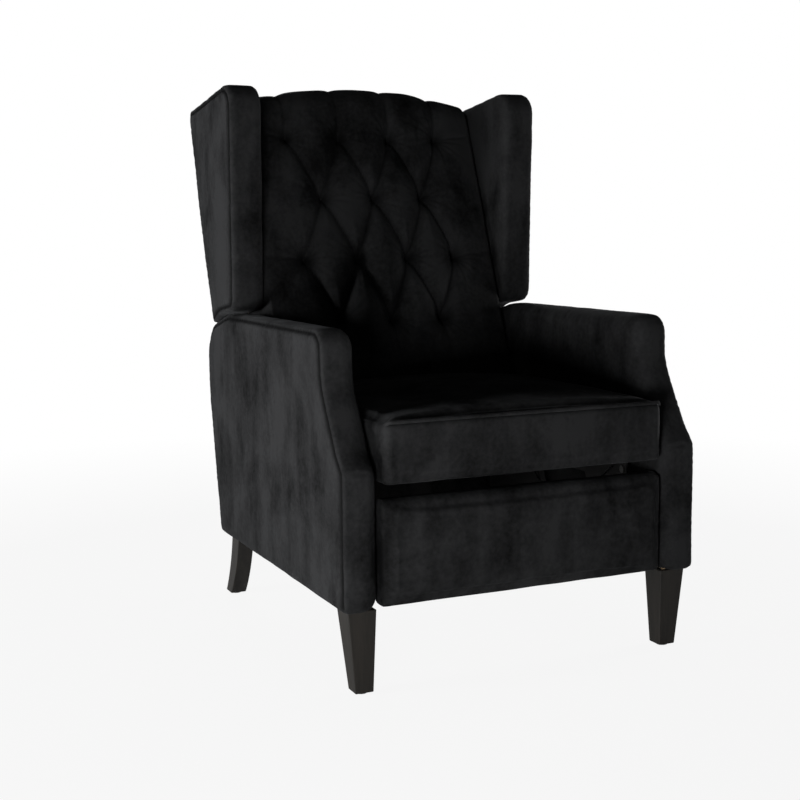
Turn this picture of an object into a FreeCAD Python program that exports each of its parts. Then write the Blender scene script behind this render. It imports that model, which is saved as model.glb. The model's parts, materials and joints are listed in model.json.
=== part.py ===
import FreeCAD, Part
import math
import os
from FreeCAD import Vector

os.makedirs("parts", exist_ok=True)

# Wingback push-back recliner, millimetres. X to the right of someone looking at its front, Y to the back,
# Z up from the floor. The origin is on the floor under the middle of the chair. Distances called behind are
# measured back from the front of the arms. Pairs are (behind, height) or (distance, drop) as their names say.

# Overall size
width = 679.45
depth = 863.6
height = 1041.4

# Arms
arm_thickness = 65.0
arm_length = 752.0
arm_top = 598.0
arm_bottom = 144.0
arm_padding = 13.0
arm_outer_edge = 9.0
arm_inner_edge = 28.0
arm_toe_radius = 8.0
arm_front_height = 376.0
arm_nose_radius = 16.0
arm_scoop_depth = 26.0
arm_scoop_rise = 28.0
arm_scoop_radius = 70.0
arm_slope_depth = 90.0
arm_shoulder_lean = 3.0
arm_shoulder_drop = 86.0
arm_shoulder_radius = 34.0
arm_rear_fall = 152.0
arm_level_radius = 150.0
arm_rear_shoulder_inset = 40.0
arm_rear_shoulder_drop = 28.0
arm_rear_radius = 60.0
arm_bulge_drop = 78.0
arm_waist_inset = 7.0
arm_waist_drop = 198.0
arm_waist_radius = 200.0
arm_heel_inset = 58.0
arm_heel_radius = 12.0
arm_front_post = 95.0
arm_rail_height = 45.0
pivot_wood = 30.0

# Legs
leg_top_size = 50.6
leg_foot_size = 32.3
leg_side_inset = 11.6
leg_front_inset = 12.6
leg_foot_side_inset = 25.6
leg_foot_front_inset = 19.3
rear_leg_inset = 3.0
rear_leg_top_depth = 45.0
rear_leg_foot_depth = 34.7
rear_leg_sweep = 56.0
rear_leg_front_bow = 11.0
rear_leg_rear_bow = 9.0
glide_radius = 10.0
glide_height = 3.0
hanger_bolt_radius = 4.0
hanger_bolt_length = 60.0

# Seat
cushion_proud = 3.0
side_gap = 4.7
seat_base = 349.0
seat_height = 106.0
seat_crown = 14.0
seat_side_draw = 5.0
seat_shoulder = 8.0
seat_nose_radius = 9.0
seat_peak = 31.0
seat_peak_share = 0.45
seat_rise_share = 0.2
seat_rise_crown = 0.75
seat_fall_share = 0.5
seat_rear_crown = 0.3
seat_rear_spare = 46.0
seat_rear_radius = 12.0
seat_under_radius = 7.0
seat_skin = 10.0
seat_front_pad = 20.0
seat_rear_pad = 14.0
seat_rail_height = 46.0
seat_rail_thickness = 22.0
seat_back_gap = 4.0
dust_cover_thickness = 0.8
piping_radius = 2.6
piping_inset = 0.5
piping_end_gap = 3.0
spring_count = 5
spring_wire = 1.9
spring_pitch = 22.0
spring_half_width = 24.0
spring_end_gap = 4.0
spring_lift = 1.0
spring_room = 6.0

# Footrest
footrest_gap = 25.0
footrest_lift = 1.0
footrest_depth = 46.0
footrest_crown = 7.0
footrest_corner = 14.0
footrest_rear_corner = 6.0
footrest_face_radius = 400.0
footrest_board_thickness = 18.0
footrest_board_inset = 12.0

# Back
back_rear_inset = 25.0
back_edge_drop = 30.0
back_lift = 23.0
back_thickness = 153.8
back_taper = 0.065
back_crown = 33.0
back_crest_drop = 33.0
back_crest_radius = 52.0
back_low_radius = 24.0
back_top_padding = 30.0
back_panel_thickness = 12.0
back_panel_corner = 4.0
back_post_depth = 38.0
back_post_width = 36.0
back_rail_height = 60.0
tuft_pitch = 114.0
tuft_row_rise = 124.0
tuft_first_rise = 124.0
tuft_row_counts = (3, 4, 3, 4)
tuft_radius = 22.0
tuft_depth = 17.0
pleat_radius = 10.0
pleat_depth = 4.5
pleat_crest_gap = 20.0
pleat_seat_gap = 35.0
strap_width = 50.0
strap_thickness = 2.5
straps_per_window = 2

# Wings
wing_thickness = 66.0
wing_side_inset = 5.7
wing_gap = 8.0
wing_low_length = 169.0
wing_top_length = 294.6
wing_toe_radius = 30.0
wing_hollow_inset = 77.0
wing_hollow_drop = 13.0
wing_hollow_radius = 120.0
wing_heel_radius = 8.0
wing_knee_height = 780.0
wing_knee_bulge = 7.0
wing_knee_radius = 900.0
wing_rear_drop = 32.0
wing_rear_inset = 5.44
wing_rear_corner = 14.0
wing_front_rise = 5.0
wing_front_corner = 46.0
wing_edge = 10.0
wing_frame_inset = 24.0
wing_board_thickness = 18.0
wing_block_heights = (700.0, 900.0)
wing_block_size = 70.0
wing_block_depth = 26.0
wing_block_inset = 4.0
wing_board_corner = 4.0

# Rear panel between the arms
rear_panel_rise = 76.0
rear_panel_lift = 2.0
rear_panel_inset = 2.0
rear_panel_depth = 34.0
rear_panel_board = 18.0
rear_panel_top_padding = 12.0

# Mechanism plates, in layers from the inner face of each arm towards the middle
plate = 3.0
layer_gap = 2.0
plate_edge = 14.0
plate_corner = 12.0
flange_width = 28.0
link_half_width = 10.0
rivet_radius = 4.0
rivet_collar = 3.0
rivet_head = 1.4
collar_clearance = 0.2
running_clearance = 0.05
pivot_bolt_radius = 6.0
pivot_bolt_length = 45.0
pocket_clearance = 2.0
screw_radius = 2.5
screw_head_radius = 5.0
screw_head = 1.3
frame_screw_length = 38.0
seat_screw_length = 30.0
footrest_screw_length = 15.0
footrest_screw_inset = 20.0
guide_slack = 3.4
drive_slack = 2.2
drive_slot_below = 5.0
drive_slot_above = 10.0
drive_slot_edge = 22.0
seat_plate_step = 60.0
seat_flange_inset = 5.0
seat_plate_drop = 1.0
base_plate_edge = 20.0
base_plate_rise = 60.0
base_plate_clearance = 6.0
bracket_rise = 40.0
bracket_clearance = 4.0
tube_radius = 12.5
tube_wall = 1.5

# Mechanism pivots
back_pivot_inset = 112.0
back_pivot_rise = 91.0
drive_pin_drop = 120.0
swing_length = 95.0
swing_lean = 25.0
swing_top_drop = 44.0
front_swing_top = 250.0
rear_swing_top = 440.0
rear_link_pivot_behind = 100.0
rear_link_pivot_drop = 31.0
rear_link_length = 185.0
front_link_length = 185.0
guide_pivot_offset = (24.7, 16.0)
guide_knee_offset = (23.2, 31.3)
foot_link_knee_offset = (-1.1, 28.0)
footrest_pivot_behind = 19.0
footrest_pivot_drop = 110.0
foot_link_end_offset = (18.0, 44.0)
front_tube_behind = 300.0
rear_tube_inset = 40.0
tube_rise = 31.0
base_screw_drop = 6.0

# How far a cutting shape runs past the piece that it cuts, and how far a plain outline stands off its crown
beyond = 60.0
crown_margin = 1.5

# Worked out from the sizes above
half_width = width / 2
arms_front = -depth / 2 + cushion_proud
arm_inner = half_width - arm_thickness
arm_heel = arm_length - arm_heel_inset
seat_half = arm_inner - side_gap
seat_top = seat_base + seat_height
footrest_top = seat_base - footrest_gap
footrest_bottom = arm_bottom + footrest_lift
footrest_rear = footrest_depth - cushion_proud
wing_outer = half_width - wing_side_inset
wing_inner = wing_outer - wing_thickness
wing_bottom = arm_top + wing_gap
back_half = arm_inner - 2 * plate - layer_gap
back_bottom = seat_base + back_lift
wing_rear = depth - cushion_proud
wing_rear_top = height - wing_rear_drop
back_rear_edge = arm_length - back_rear_inset
back_edge_height = arm_top - back_edge_drop
back_rear_slope = (wing_rear + wing_rear_inset - back_rear_edge) / (wing_rear_top - back_edge_height)
back_front_slope = back_rear_slope + back_taper
back_top = height - back_crest_drop
back_frame_top = back_top - back_top_padding
back_frame_front = back_panel_thickness + back_post_depth
rear_panel_top = seat_base + rear_panel_rise
back_pivot = (arm_length - back_pivot_inset, seat_base + back_pivot_rise)
drive_pin = (back_pivot[0], back_pivot[1] - drive_pin_drop)
tube_height = arm_bottom + tube_rise


def at(behind, up, x=0.0):
    """A point that lies behind the front of the arms, at a height."""
    return Vector(x, arms_front + behind, up)


def rounded_wire(corners, place):
    """A closed outline through (u, v, radius) corners, with tangent arcs. place makes a point of u and v."""
    count = len(corners)
    starts = []
    ends = []
    middles = []
    for i in range(count):
        before = corners[i - 1]
        here = corners[i]
        after = corners[(i + 1) % count]
        into = Vector(before[0] - here[0], before[1] - here[1], 0).normalize()
        out = Vector(after[0] - here[0], after[1] - here[1], 0).normalize()
        point = Vector(here[0], here[1], 0)
        radius = here[2] if len(here) > 2 else 0.0
        if radius <= 0:
            starts.append(point)
            ends.append(point)
            middles.append(None)
            continue
        half = into.getAngle(out) / 2
        reach = radius / math.tan(half)
        bisector = (into + out).normalize()
        starts.append(point + into * reach)
        ends.append(point + out * reach)
        middles.append(point + bisector * (radius / math.sin(half) - radius))
    edges = []
    for i in range(count):
        if middles[i] is not None:
            three = [place(p.x, p.y) for p in (starts[i], middles[i], ends[i])]
            edges.append(Part.Arc(*three).toShape())
        a = place(ends[i].x, ends[i].y)
        b = place(starts[(i + 1) % count].x, starts[(i + 1) % count].y)
        if a.distanceToPoint(b) > 1e-6:
            edges.append(Part.LineSegment(a, b).toShape())
    return Part.Wire(edges)


def side_prism(corners, x_from, x_to):
    """An outline seen from the side, (behind, height, radius) corners, as a slab from x_from to x_to."""
    wire = rounded_wire(corners, lambda u, v: at(u, v, x_from))
    return Part.Face(wire).extrude(Vector(x_to - x_from, 0, 0))


def leaning_slab(line, front, rear, low, high, x_from, x_to, corner=0.0):
    """A slab that follows a leaning line: front and rear are how far it starts and ends before that line."""
    corners = [
        (line(low) - front, low),
        (line(high) - front, high),
        (line(high) - rear, high, corner),
        (line(low) - rear, low, corner),
    ]
    return side_prism(corners, x_from, x_to)


def block(x_from, x_to, behind_from, behind_to, z_from, z_to):
    size = (x_to - x_from, behind_to - behind_from, z_to - z_from)
    return Part.makeBox(*size, at(behind_from, z_from, x_from))


def mirrored(shape):
    """The same piece on the other side of the chair."""
    return shape.mirror(Vector(0, 0, 0), Vector(1, 0, 0))


def both_sides(shapes):
    """Right-hand pieces and their mirror images, as one group of separate solids."""
    return Part.makeCompound(list(shapes) + [mirrored(shape) for shape in shapes])


def rounded_edges(solid, radius, wanted):
    """Rounds the edges whose every end point wanted(point) accepts."""
    edges = [e for e in solid.Edges if all(wanted(v.Point) for v in e.Vertexes) and wanted(e.CenterOfMass)]
    return solid.makeFillet(radius, edges)


# Arms


def arm_outline(inset=0.0, low=arm_bottom):
    """The side view of an arm: upright front, slope back to the armrest, level top, rounded rear corner."""
    top = arm_top - inset
    slope_end = arm_slope_depth + inset
    rear = arm_length - inset
    return [
        (inset, low, arm_toe_radius),
        (inset, arm_front_height, arm_nose_radius),
        (inset + arm_scoop_depth, arm_front_height + arm_scoop_rise, arm_scoop_radius),
        (slope_end - arm_shoulder_lean, arm_top - arm_shoulder_drop, arm_scoop_radius),
        (slope_end, top, arm_shoulder_radius),
        (arm_length - arm_rear_fall, top, arm_level_radius),
        (rear - arm_rear_shoulder_inset, top - arm_rear_shoulder_drop, arm_rear_radius),
        (rear, top - arm_bulge_drop, arm_rear_radius),
        (rear - arm_waist_inset, top - arm_waist_drop, arm_waist_radius),
        (rear - arm_heel_inset, low, arm_heel_radius),
    ]


def arm_cavity():
    """The space for the wooden frame inside an arm. It is open underneath."""
    inside = arm_inner + arm_padding
    outside = half_width - arm_padding
    return side_prism(arm_outline(arm_padding, arm_bottom - 1), inside, outside)


def arm_cover():
    """The padded cover of the right arm, with rounded edges round its front and top."""
    shell = side_prism(arm_outline(), arm_inner, half_width)
    low = arm_bottom + arm_toe_radius + arm_heel_radius
    armrest_end = arms_front + arm_length - arm_rear_fall

    def outer(point):
        return abs(point.x - half_width) < 0.01 and point.z > low

    def inner(point):
        return abs(point.x - arm_inner) < 0.01 and point.z > low and point.y < armrest_end

    shell = rounded_edges(shell, arm_outer_edge, outer)
    shell = rounded_edges(shell, arm_inner_edge, inner)
    return shell.cut(arm_cavity())


def arm_frame():
    """Rails and posts of the right arm, with a rail and a deep post where the back's pivot bolt goes in."""
    inside = arm_inner + arm_padding
    outside = half_width - arm_padding
    core = side_prism(arm_outline(arm_padding), inside, outside)
    front = arm_padding + arm_front_post
    rear = back_pivot[0] - pivot_wood
    low = arm_bottom + arm_rail_height
    high = arm_top - arm_padding - arm_rail_height
    windows = [
        block(inside, outside, front, rear, low, back_pivot[1] - pivot_wood),
        block(inside, outside, front, rear, back_pivot[1] + pivot_wood, high),
    ]
    return core.cut(windows)


# Legs


def front_leg():
    """A square leg that tapers towards the floor."""
    rings = []
    for side_inset, behind, size, z in (
        (leg_foot_side_inset, leg_foot_front_inset, leg_foot_size, glide_height),
        (leg_side_inset, leg_front_inset, leg_top_size, arm_bottom),
    ):
        x = half_width - side_inset
        places = ((behind, x), (behind + size, x), (behind + size, x - size), (behind, x - size), (behind, x))
        rings.append(Part.makePolygon([at(b, z, side) for b, side in places]))
    return Part.makeLoft(rings, True, True)


def rear_leg_ends():
    """(top, foot) distances behind of the rear leg's front edge and of its rear edge."""
    top = arm_heel - rear_leg_inset
    foot = top + rear_leg_sweep
    return (top - rear_leg_top_depth, foot - rear_leg_foot_depth), (top, foot)


def bowed_edge(top, foot, bow, x):
    """One edge of a rear leg: an arc from foot to top that bows forwards."""
    middle = (arm_bottom + glide_height) / 2
    points = (at(foot, glide_height, x), at((top + foot) / 2 - bow, middle, x), at(top, arm_bottom, x))
    return Part.Arc(*points).toShape()


def rear_leg():
    """A sabre leg that sweeps backwards."""
    front, rear = rear_leg_ends()
    x = half_width - leg_foot_side_inset
    head = Part.LineSegment(at(front[0], arm_bottom, x), at(rear[0], arm_bottom, x)).toShape()
    foot = Part.LineSegment(at(rear[1], glide_height, x), at(front[1], glide_height, x)).toShape()
    edges = [bowed_edge(*front, rear_leg_front_bow, x), head, bowed_edge(*rear, rear_leg_rear_bow, x), foot]
    return Part.Face(Part.Wire(edges)).extrude(Vector(-leg_foot_size, 0, 0))


def leg_places():
    """((x, behind) at the top, (x, behind) at the foot) of each right leg's middle: front, then rear."""
    front, rear = rear_leg_ends()
    top_x = half_width - leg_side_inset - leg_top_size / 2
    foot_x = half_width - leg_foot_side_inset - leg_foot_size / 2
    return [
        ((top_x, leg_front_inset + leg_top_size / 2), (foot_x, leg_foot_front_inset + leg_foot_size / 2)),
        ((foot_x, (front[0] + rear[0]) / 2), (foot_x, (front[1] + rear[1]) / 2)),
    ]


def leg_glides():
    """Round plastic glides under the four feet."""
    places = [at(foot[1], 0, foot[0]) for top, foot in leg_places()]
    return both_sides([Part.makeCylinder(glide_radius, glide_height, place) for place in places])


def leg_bolts():
    """One bolt up from each leg into the arm's bottom rail."""
    low = arm_bottom - hanger_bolt_length / 2
    places = [at(top[1], low, top[0]) for top, foot in leg_places()]
    return both_sides([Part.makeCylinder(hanger_bolt_radius, hanger_bolt_length, place) for place in places])


# Rear panel between the arms


def rear_panel_face(z):
    """How far back the rear panel's outer face lies at a height, along the arms' lower rear edges."""
    waist_behind = arm_length - arm_waist_inset
    waist_height = arm_top - arm_waist_drop
    lean = (waist_behind - arm_heel) / (waist_height - arm_bottom)
    return arm_heel + (z - arm_bottom) * lean - rear_panel_inset


def rear_panel_rail():
    front = (rear_panel_depth + rear_panel_board) / 2
    low = arm_bottom + rear_panel_lift
    high = rear_panel_top - rear_panel_top_padding
    return leaning_slab(rear_panel_face, front, front - rear_panel_board, low, high, -arm_inner, arm_inner)


def rear_panel_cover():
    low = arm_bottom + rear_panel_lift
    cover = leaning_slab(rear_panel_face, rear_panel_depth, 0, low, rear_panel_top, -arm_inner, arm_inner)
    return cover.cut(rear_panel_rail())


# Back


def back_rear(z):
    """How far back the rear surface of the back lies at a height."""
    return back_rear_edge + (z - back_edge_height) * back_rear_slope


def back_front(z):
    """How far back the flat side edges of the back cushion lie at a height."""
    return back_rear(seat_top) - back_thickness + (z - seat_top) * back_front_slope


def back_middle(z):
    """How far back the middle of the back cushion lies at a height."""
    return back_front(z) - back_crown


def back_cushion_envelope():
    """Side view of the back cushion at its middle: slanted front, rolled crest, rear face on the frame."""
    crest = height + crown_margin
    outline = [
        (back_middle(back_bottom) - crown_margin, back_bottom, back_low_radius),
        (back_middle(height) - crown_margin, crest, back_crest_radius),
        (back_rear(height) - back_crest_radius, crest, back_crest_radius),
        (back_rear(back_frame_top), back_frame_top, back_panel_corner / 2),
        (back_rear(back_frame_top) - back_frame_front, back_frame_top),
        (back_rear(back_bottom) - back_frame_front, back_bottom, back_panel_corner),
    ]
    return side_prism(outline, -wing_inner - 1, wing_inner + 1)


def back_cushion_section():
    """The crowned cross-section from side to side, run along the slant of the back."""
    low = back_bottom - beyond
    start = back_front(low)
    rear = start + depth
    places = ((start, wing_inner), (rear, wing_inner), (rear, -wing_inner), (start, -wing_inner))
    corners = [at(behind, low, x) for behind, x in places]
    edges = [Part.LineSegment(a, b).toShape() for a, b in zip(corners, corners[1:])]
    edges.append(Part.Arc(corners[-1], at(start - back_crown, low, 0), corners[0]).toShape())
    slant = Vector(0, back_front_slope, 1)
    return Part.Face(Part.Wire(edges)).extrude(slant * (height + beyond - low))


def back_cushion_front_view():
    """The camel-back crest, highest at the middle."""
    low = back_bottom - beyond
    places = ((back_top, wing_inner), (low, wing_inner), (low, -wing_inner), (back_top, -wing_inner))
    corners = [at(0, z, x) for z, x in places]
    edges = [Part.LineSegment(a, b).toShape() for a, b in zip(corners, corners[1:])]
    edges.append(Part.Arc(corners[-1], at(0, height, 0), corners[0]).toShape())
    return Part.Face(Part.Wire(edges)).extrude(Vector(0, depth + beyond, 0))


def surface_point(x, z):
    """A point on the crowned front of the back cushion."""
    radius = (wing_inner**2 + back_crown**2) / (2 * back_crown)
    drop = radius - math.sqrt(radius**2 - x**2)
    return at(back_middle(z) + drop, z, x)


def tuft_rows():
    """The tufts in a diamond pattern, from the lowest row up: lists of (x, height)."""
    rows = []
    for row, count in enumerate(tuft_row_counts):
        z = seat_top + tuft_first_rise + row * tuft_row_rise
        rows.append([((i - (count - 1) / 2) * tuft_pitch, z) for i in range(count)])
    return rows


def pleat_lines():
    """Pairs of surface points: diagonals between tufts, folds up to the crest and down to the seat."""
    rows = tuft_rows()
    lines = []
    for lower, upper in zip(rows, rows[1:]):
        for x, z in lower:
            for other, other_z in upper:
                if abs(abs(x - other) - tuft_pitch / 2) < 1:
                    lines.append((surface_point(x, z), surface_point(other, other_z)))
    for x, z in rows[-1]:
        lines.append((surface_point(x, z), surface_point(x, back_top - pleat_crest_gap)))
    for x, z in rows[0]:
        lines.append((surface_point(x, z), surface_point(x, seat_top + pleat_seat_gap)))
    return lines


def bracket_room():
    """The space beside the right post that a back bracket and its bolt heads need."""
    inner = back_half - bracket_clearance
    high = back_pivot[1] + bracket_rise + bracket_clearance
    return block(inner, wing_inner + 1, 0, depth, back_bottom - 1, high)


def back_cushion():
    """The tufted back cushion, from wing to wing and rolled over the top rail."""
    body = back_cushion_envelope().common(back_cushion_section()).common(back_cushion_front_view())
    outward = Vector(0, -1, back_front_slope).normalize()
    tools = [bracket_room(), mirrored(bracket_room())]
    for row in tuft_rows():
        for x, z in row:
            centre = surface_point(x, z) + outward * (tuft_radius - tuft_depth)
            tools.append(Part.makeSphere(tuft_radius, centre))
    lift = outward * (pleat_radius - pleat_depth)
    for start, end in pleat_lines():
        run = end - start
        tools.append(Part.makeCylinder(pleat_radius, run.Length, start + lift, run))
    return body.cut(tools)


def back_windows():
    """(low, high) of the two openings between the rails of the back frame."""
    middle = (back_bottom + back_frame_top) / 2
    half_rail = back_rail_height / 2
    return [
        (back_bottom + back_rail_height, middle - half_rail),
        (middle + half_rail, back_frame_top - back_rail_height),
    ]


def back_frame():
    """The two side posts and three rails of the back, with a round pocket for each pivot bolt's head."""
    slab = leaning_slab(
        back_rear, back_frame_front, back_panel_thickness, back_bottom, back_frame_top, -back_half, back_half
    )
    inside = back_half - back_post_width
    tools = [block(-inside, inside, 0, depth, low, high) for low, high in back_windows()]
    pocket_radius = pivot_bolt_radius + rivet_collar + pocket_clearance
    pocket_depth = rivet_head + 1
    place = at(*back_pivot, back_half - pocket_depth)
    pocket = Part.makeCylinder(pocket_radius, pocket_depth + 1, place, Vector(1, 0, 0))
    return slab.cut(tools + [pocket, mirrored(pocket)])


def back_webbing():
    """Elastic straps across the openings of the back frame, flush with its front."""
    inside = back_half - back_post_width
    rear = back_frame_front - strap_thickness
    straps = []
    for low, high in back_windows():
        for i in range(straps_per_window):
            middle = low + (high - low) * (i + 1) / (straps_per_window + 1)
            span = (middle - strap_width / 2, middle + strap_width / 2)
            straps.append(leaning_slab(back_rear, back_frame_front, rear, *span, -inside, inside))
    return Part.makeCompound(straps)


def back_panel():
    """The upholstered panel that closes the rear of the back between the wings."""
    span = (back_bottom, back_frame_top)
    return leaning_slab(back_rear, back_panel_thickness, 0, *span, -back_half, back_half, back_panel_corner)


# Wings


def rounded_corner_reach(radius, lean, fall):
    """How far a corner lies beyond its rounding. The edges lean from upright and fall from level."""
    half = (math.pi / 2 - lean + fall) / 2
    return radius / math.tan(half) * math.sin(lean) + radius * math.cos(lean) - radius


def wing_outline(inset=0.0):
    """The side view of a wing, following the armrest below it."""
    front_top = wing_rear - wing_top_length
    knee = back_rear(wing_knee_height) + wing_knee_bulge
    lean = math.atan2(wing_rear - knee, wing_rear_top - wing_knee_height)
    fall = math.atan2(wing_rear_drop + wing_front_rise, wing_top_length)
    rear_top = wing_rear + rounded_corner_reach(wing_rear_corner, lean, fall)
    heel_height = back_edge_height + 1
    toe_radius = max(wing_toe_radius - inset, wing_board_corner)
    front_radius = max(wing_front_corner - inset, wing_board_corner)
    return [
        (arm_length - wing_low_length + inset, wing_bottom + inset, toe_radius),
        (arm_length - wing_hollow_inset, wing_bottom - wing_hollow_drop + inset, wing_hollow_radius),
        (back_rear(heel_height) - inset, heel_height + inset, wing_heel_radius),
        (knee - inset, wing_knee_height, wing_knee_radius),
        (rear_top - inset, wing_rear_top - inset, wing_rear_corner),
        (front_top + inset, height + wing_front_rise - inset, front_radius),
    ]


def wing_frame():
    """The right wing's board, and the blocks that join it to the back post beside it."""
    board_outer = wing_outer - wing_frame_inset
    board_inner = board_outer - wing_board_thickness
    board = side_prism(wing_outline(wing_frame_inset), board_inner, board_outer)
    rear = back_panel_thickness + wing_block_inset
    front = rear + wing_block_depth
    for z in wing_block_heights:
        span = (z - wing_block_size / 2, z + wing_block_size / 2)
        board = board.fuse(leaning_slab(back_rear, front, rear, *span, back_half, board_inner))
    return board.removeSplitter()


def wing_cover():
    """The padded cover of the right wing, round its board."""
    cover = side_prism(wing_outline(), wing_inner, wing_outer)

    rear_edge = arms_front + back_rear(wing_bottom) - wing_edge

    def front_edges(point):
        return point.y < rear_edge and point.z > wing_bottom + wing_edge

    cover = rounded_edges(cover, wing_edge, front_edges)
    return cover.cut(wing_frame())


# Seat


def seat_section(behind, crown):
    """The seat's cross-section at one distance: flat underside, upright sides, crowned top."""
    low = seat_base - 1
    shoulder = seat_top - seat_shoulder
    places = ((shoulder, -seat_half), (low, -seat_half), (low, seat_half), (shoulder, seat_half))
    corners = [at(behind, z, x) for z, x in places]
    edges = [Part.LineSegment(a, b).toShape() for a, b in zip(corners, corners[1:])]
    edges.append(Part.Arc(corners[-1], at(behind, seat_top + crown, 0), corners[0]).toShape())
    return Part.Wire(edges)


def seat_block():
    """The seat's upholstered block: crowned top, rolled nose, rear face along the slant of the back."""
    front = -cushion_proud
    rear_edge = seat_top + seat_shoulder / 2
    rear = back_middle(seat_top) + seat_rear_spare
    side_view = [
        (front, seat_base, seat_under_radius),
        (front, seat_top, seat_nose_radius),
        (rear * seat_peak_share, seat_top + seat_peak),
        (back_middle(rear_edge) - seat_back_gap, rear_edge, seat_rear_radius),
        (back_middle(seat_base) - seat_back_gap, seat_base, seat_under_radius),
    ]
    body = side_prism(side_view, -seat_half, seat_half)
    rise = (rear * seat_rise_share, seat_rise_crown)
    fall = (rear * seat_fall_share, 1.0)
    stations = ((front - seat_shoulder, 0.0), rise, fall, (rear, seat_rear_crown))
    crown = Part.makeLoft([seat_section(behind, seat_crown * share) for behind, share in stations], True)
    low = seat_base - 1
    nose = front - seat_shoulder
    drawn = seat_half - seat_side_draw
    middle = (rear + front) / 2
    right = Part.Arc(at(nose, low, drawn), at(middle, low, seat_half), at(rear, low, drawn)).toShape()
    left = Part.Arc(at(rear, low, -drawn), at(middle, low, -seat_half), at(nose, low, -drawn)).toShape()
    rear_end = Part.LineSegment(at(rear, low, drawn), at(rear, low, -drawn)).toShape()
    front_end = Part.LineSegment(at(nose, low, -drawn), at(nose, low, drawn)).toShape()
    sides = Part.Face(Part.Wire([right, rear_end, left, front_end])).extrude(Vector(0, 0, height))
    return body.common(crown).common(sides)


def seat_frame_size():
    """(half width, front, rear, underside, top) of the wooden box inside the seat."""
    half = seat_half - seat_side_draw - seat_skin
    front = seat_front_pad - cushion_proud
    rear = back_middle(seat_base) - seat_back_gap - seat_rear_pad
    low = seat_base + plate + dust_cover_thickness
    return half, front, rear, low, low + seat_rail_height


def seat_cushion():
    """The seat's foam and cover, hollow underneath where the wooden box and its springs sit."""
    half, front, rear, low, high = seat_frame_size()
    hollow = block(-half, half, front, rear, seat_base - 1, high + spring_room)
    return seat_block().cut([hollow, seat_piping()])


def seat_side_rail():
    half, front, rear, low, high = seat_frame_size()
    return block(half - seat_rail_thickness, half, front, rear, low, high)


def seat_cross_rails():
    """The front and rear rails of the seat's wooden box, between its side rails."""
    half, front, rear, low, high = seat_frame_size()
    inner = half - seat_rail_thickness
    spans = ((front, front + seat_rail_thickness), (rear - seat_rail_thickness, rear))
    return Part.makeCompound([block(-inner, inner, *span, low, high) for span in spans])


def seat_dust_cover():
    """The thin cloth that closes the seat's underside, held between its rails and the steel flanges."""
    half, front, rear, low, high = seat_frame_size()
    return block(-half, half, front, rear, low - dust_cover_thickness, low)


def sinuous_spring(x, start, end, z):
    """One zigzag wire spring of half-round loops, running from front to rear."""
    radius = spring_pitch / 2
    loops = int((end - start) / spring_pitch)
    behind = start + (end - start - (loops - 1) * spring_pitch) / 2
    reach = spring_half_width - radius
    side = 1
    edges = []
    for loop in range(loops):
        line_start = at(behind, z, x - side * reach)
        line_end = at(behind, z, x + side * reach)
        edges.append(Part.LineSegment(line_start, line_end).toShape())
        if loop < loops - 1:
            arc_middle = at(behind + radius, z, x + side * (reach + radius))
            arc_end = at(behind + spring_pitch, z, x + side * reach)
            edges.append(Part.Arc(line_end, arc_middle, arc_end).toShape())
        behind += spring_pitch
        side = -side
    first = edges[0].valueAt(edges[0].FirstParameter)
    ring = Part.Wire([Part.Circle(first, Vector(1, 0, 0), spring_wire).toShape()])
    return Part.Wire(edges).makePipeShell([ring], True, False)


def seat_springs():
    """Zigzag springs across the seat's wooden box, set just above its rails."""
    half, front, rear, low, high = seat_frame_size()
    step = 2 * (half - seat_rail_thickness) / spring_count
    z = high + spring_wire + spring_lift
    places = [(i - (spring_count - 1) / 2) * step for i in range(spring_count)]
    ends = (front + spring_end_gap, rear - spring_end_gap)
    return Part.makeCompound([sinuous_spring(x, *ends, z) for x in places])


def seat_piping():
    """The piped seam along the front top edge of the seat."""
    reach = seat_half - seat_side_draw - piping_end_gap
    place = at(-cushion_proud + piping_radius + piping_inset, seat_top - piping_radius, -reach)
    return Part.makeCylinder(piping_radius, 2 * reach, place, Vector(1, 0, 0))


# Footrest


def footrest_board():
    """The wooden board inside the footrest pad, flush with its rear."""
    half = seat_half - footrest_board_inset
    low = footrest_bottom + footrest_board_inset
    high = footrest_top - footrest_board_inset
    return block(-half, half, footrest_rear - footrest_board_thickness, footrest_rear, low, high)


def footrest_pad():
    """The padded front of the footrest, wrapped round the edges of its board."""
    front = -cushion_proud
    edge = front + footrest_crown
    rear = footrest_rear + 1
    side_view = [
        (edge, footrest_bottom, footrest_corner),
        (front, (footrest_top + footrest_bottom) / 2, footrest_face_radius),
        (edge, footrest_top, footrest_corner),
        (footrest_rear, footrest_top, footrest_rear_corner),
        (footrest_rear, footrest_bottom, footrest_rear_corner),
    ]
    body = side_prism(side_view, -seat_half, seat_half)
    places = ((edge, seat_half), (rear, seat_half), (rear, -seat_half), (edge, -seat_half))
    corners = [at(behind, 0, x) for behind, x in places]
    plan = [Part.LineSegment(a, b).toShape() for a, b in zip(corners, corners[1:])]
    plan.append(Part.Arc(corners[-1], at(front, 0, 0), corners[0]).toShape())
    body = body.common(Part.Face(Part.Wire(plan)).extrude(Vector(0, 0, height)))
    return body.cut(footrest_board())


# Mechanism layers and pivots


def layer(number):
    """(inner, outer) x of a layer of plate, counted from the arm's inner face."""
    outer = arm_inner - number * (plate + layer_gap)
    return outer - plate, outer


base_layer, swing_layer, foot_link_layer, rear_link_layer = range(4)
seat_layer, guide_layer, front_link_layer = range(4, 7)


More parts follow.
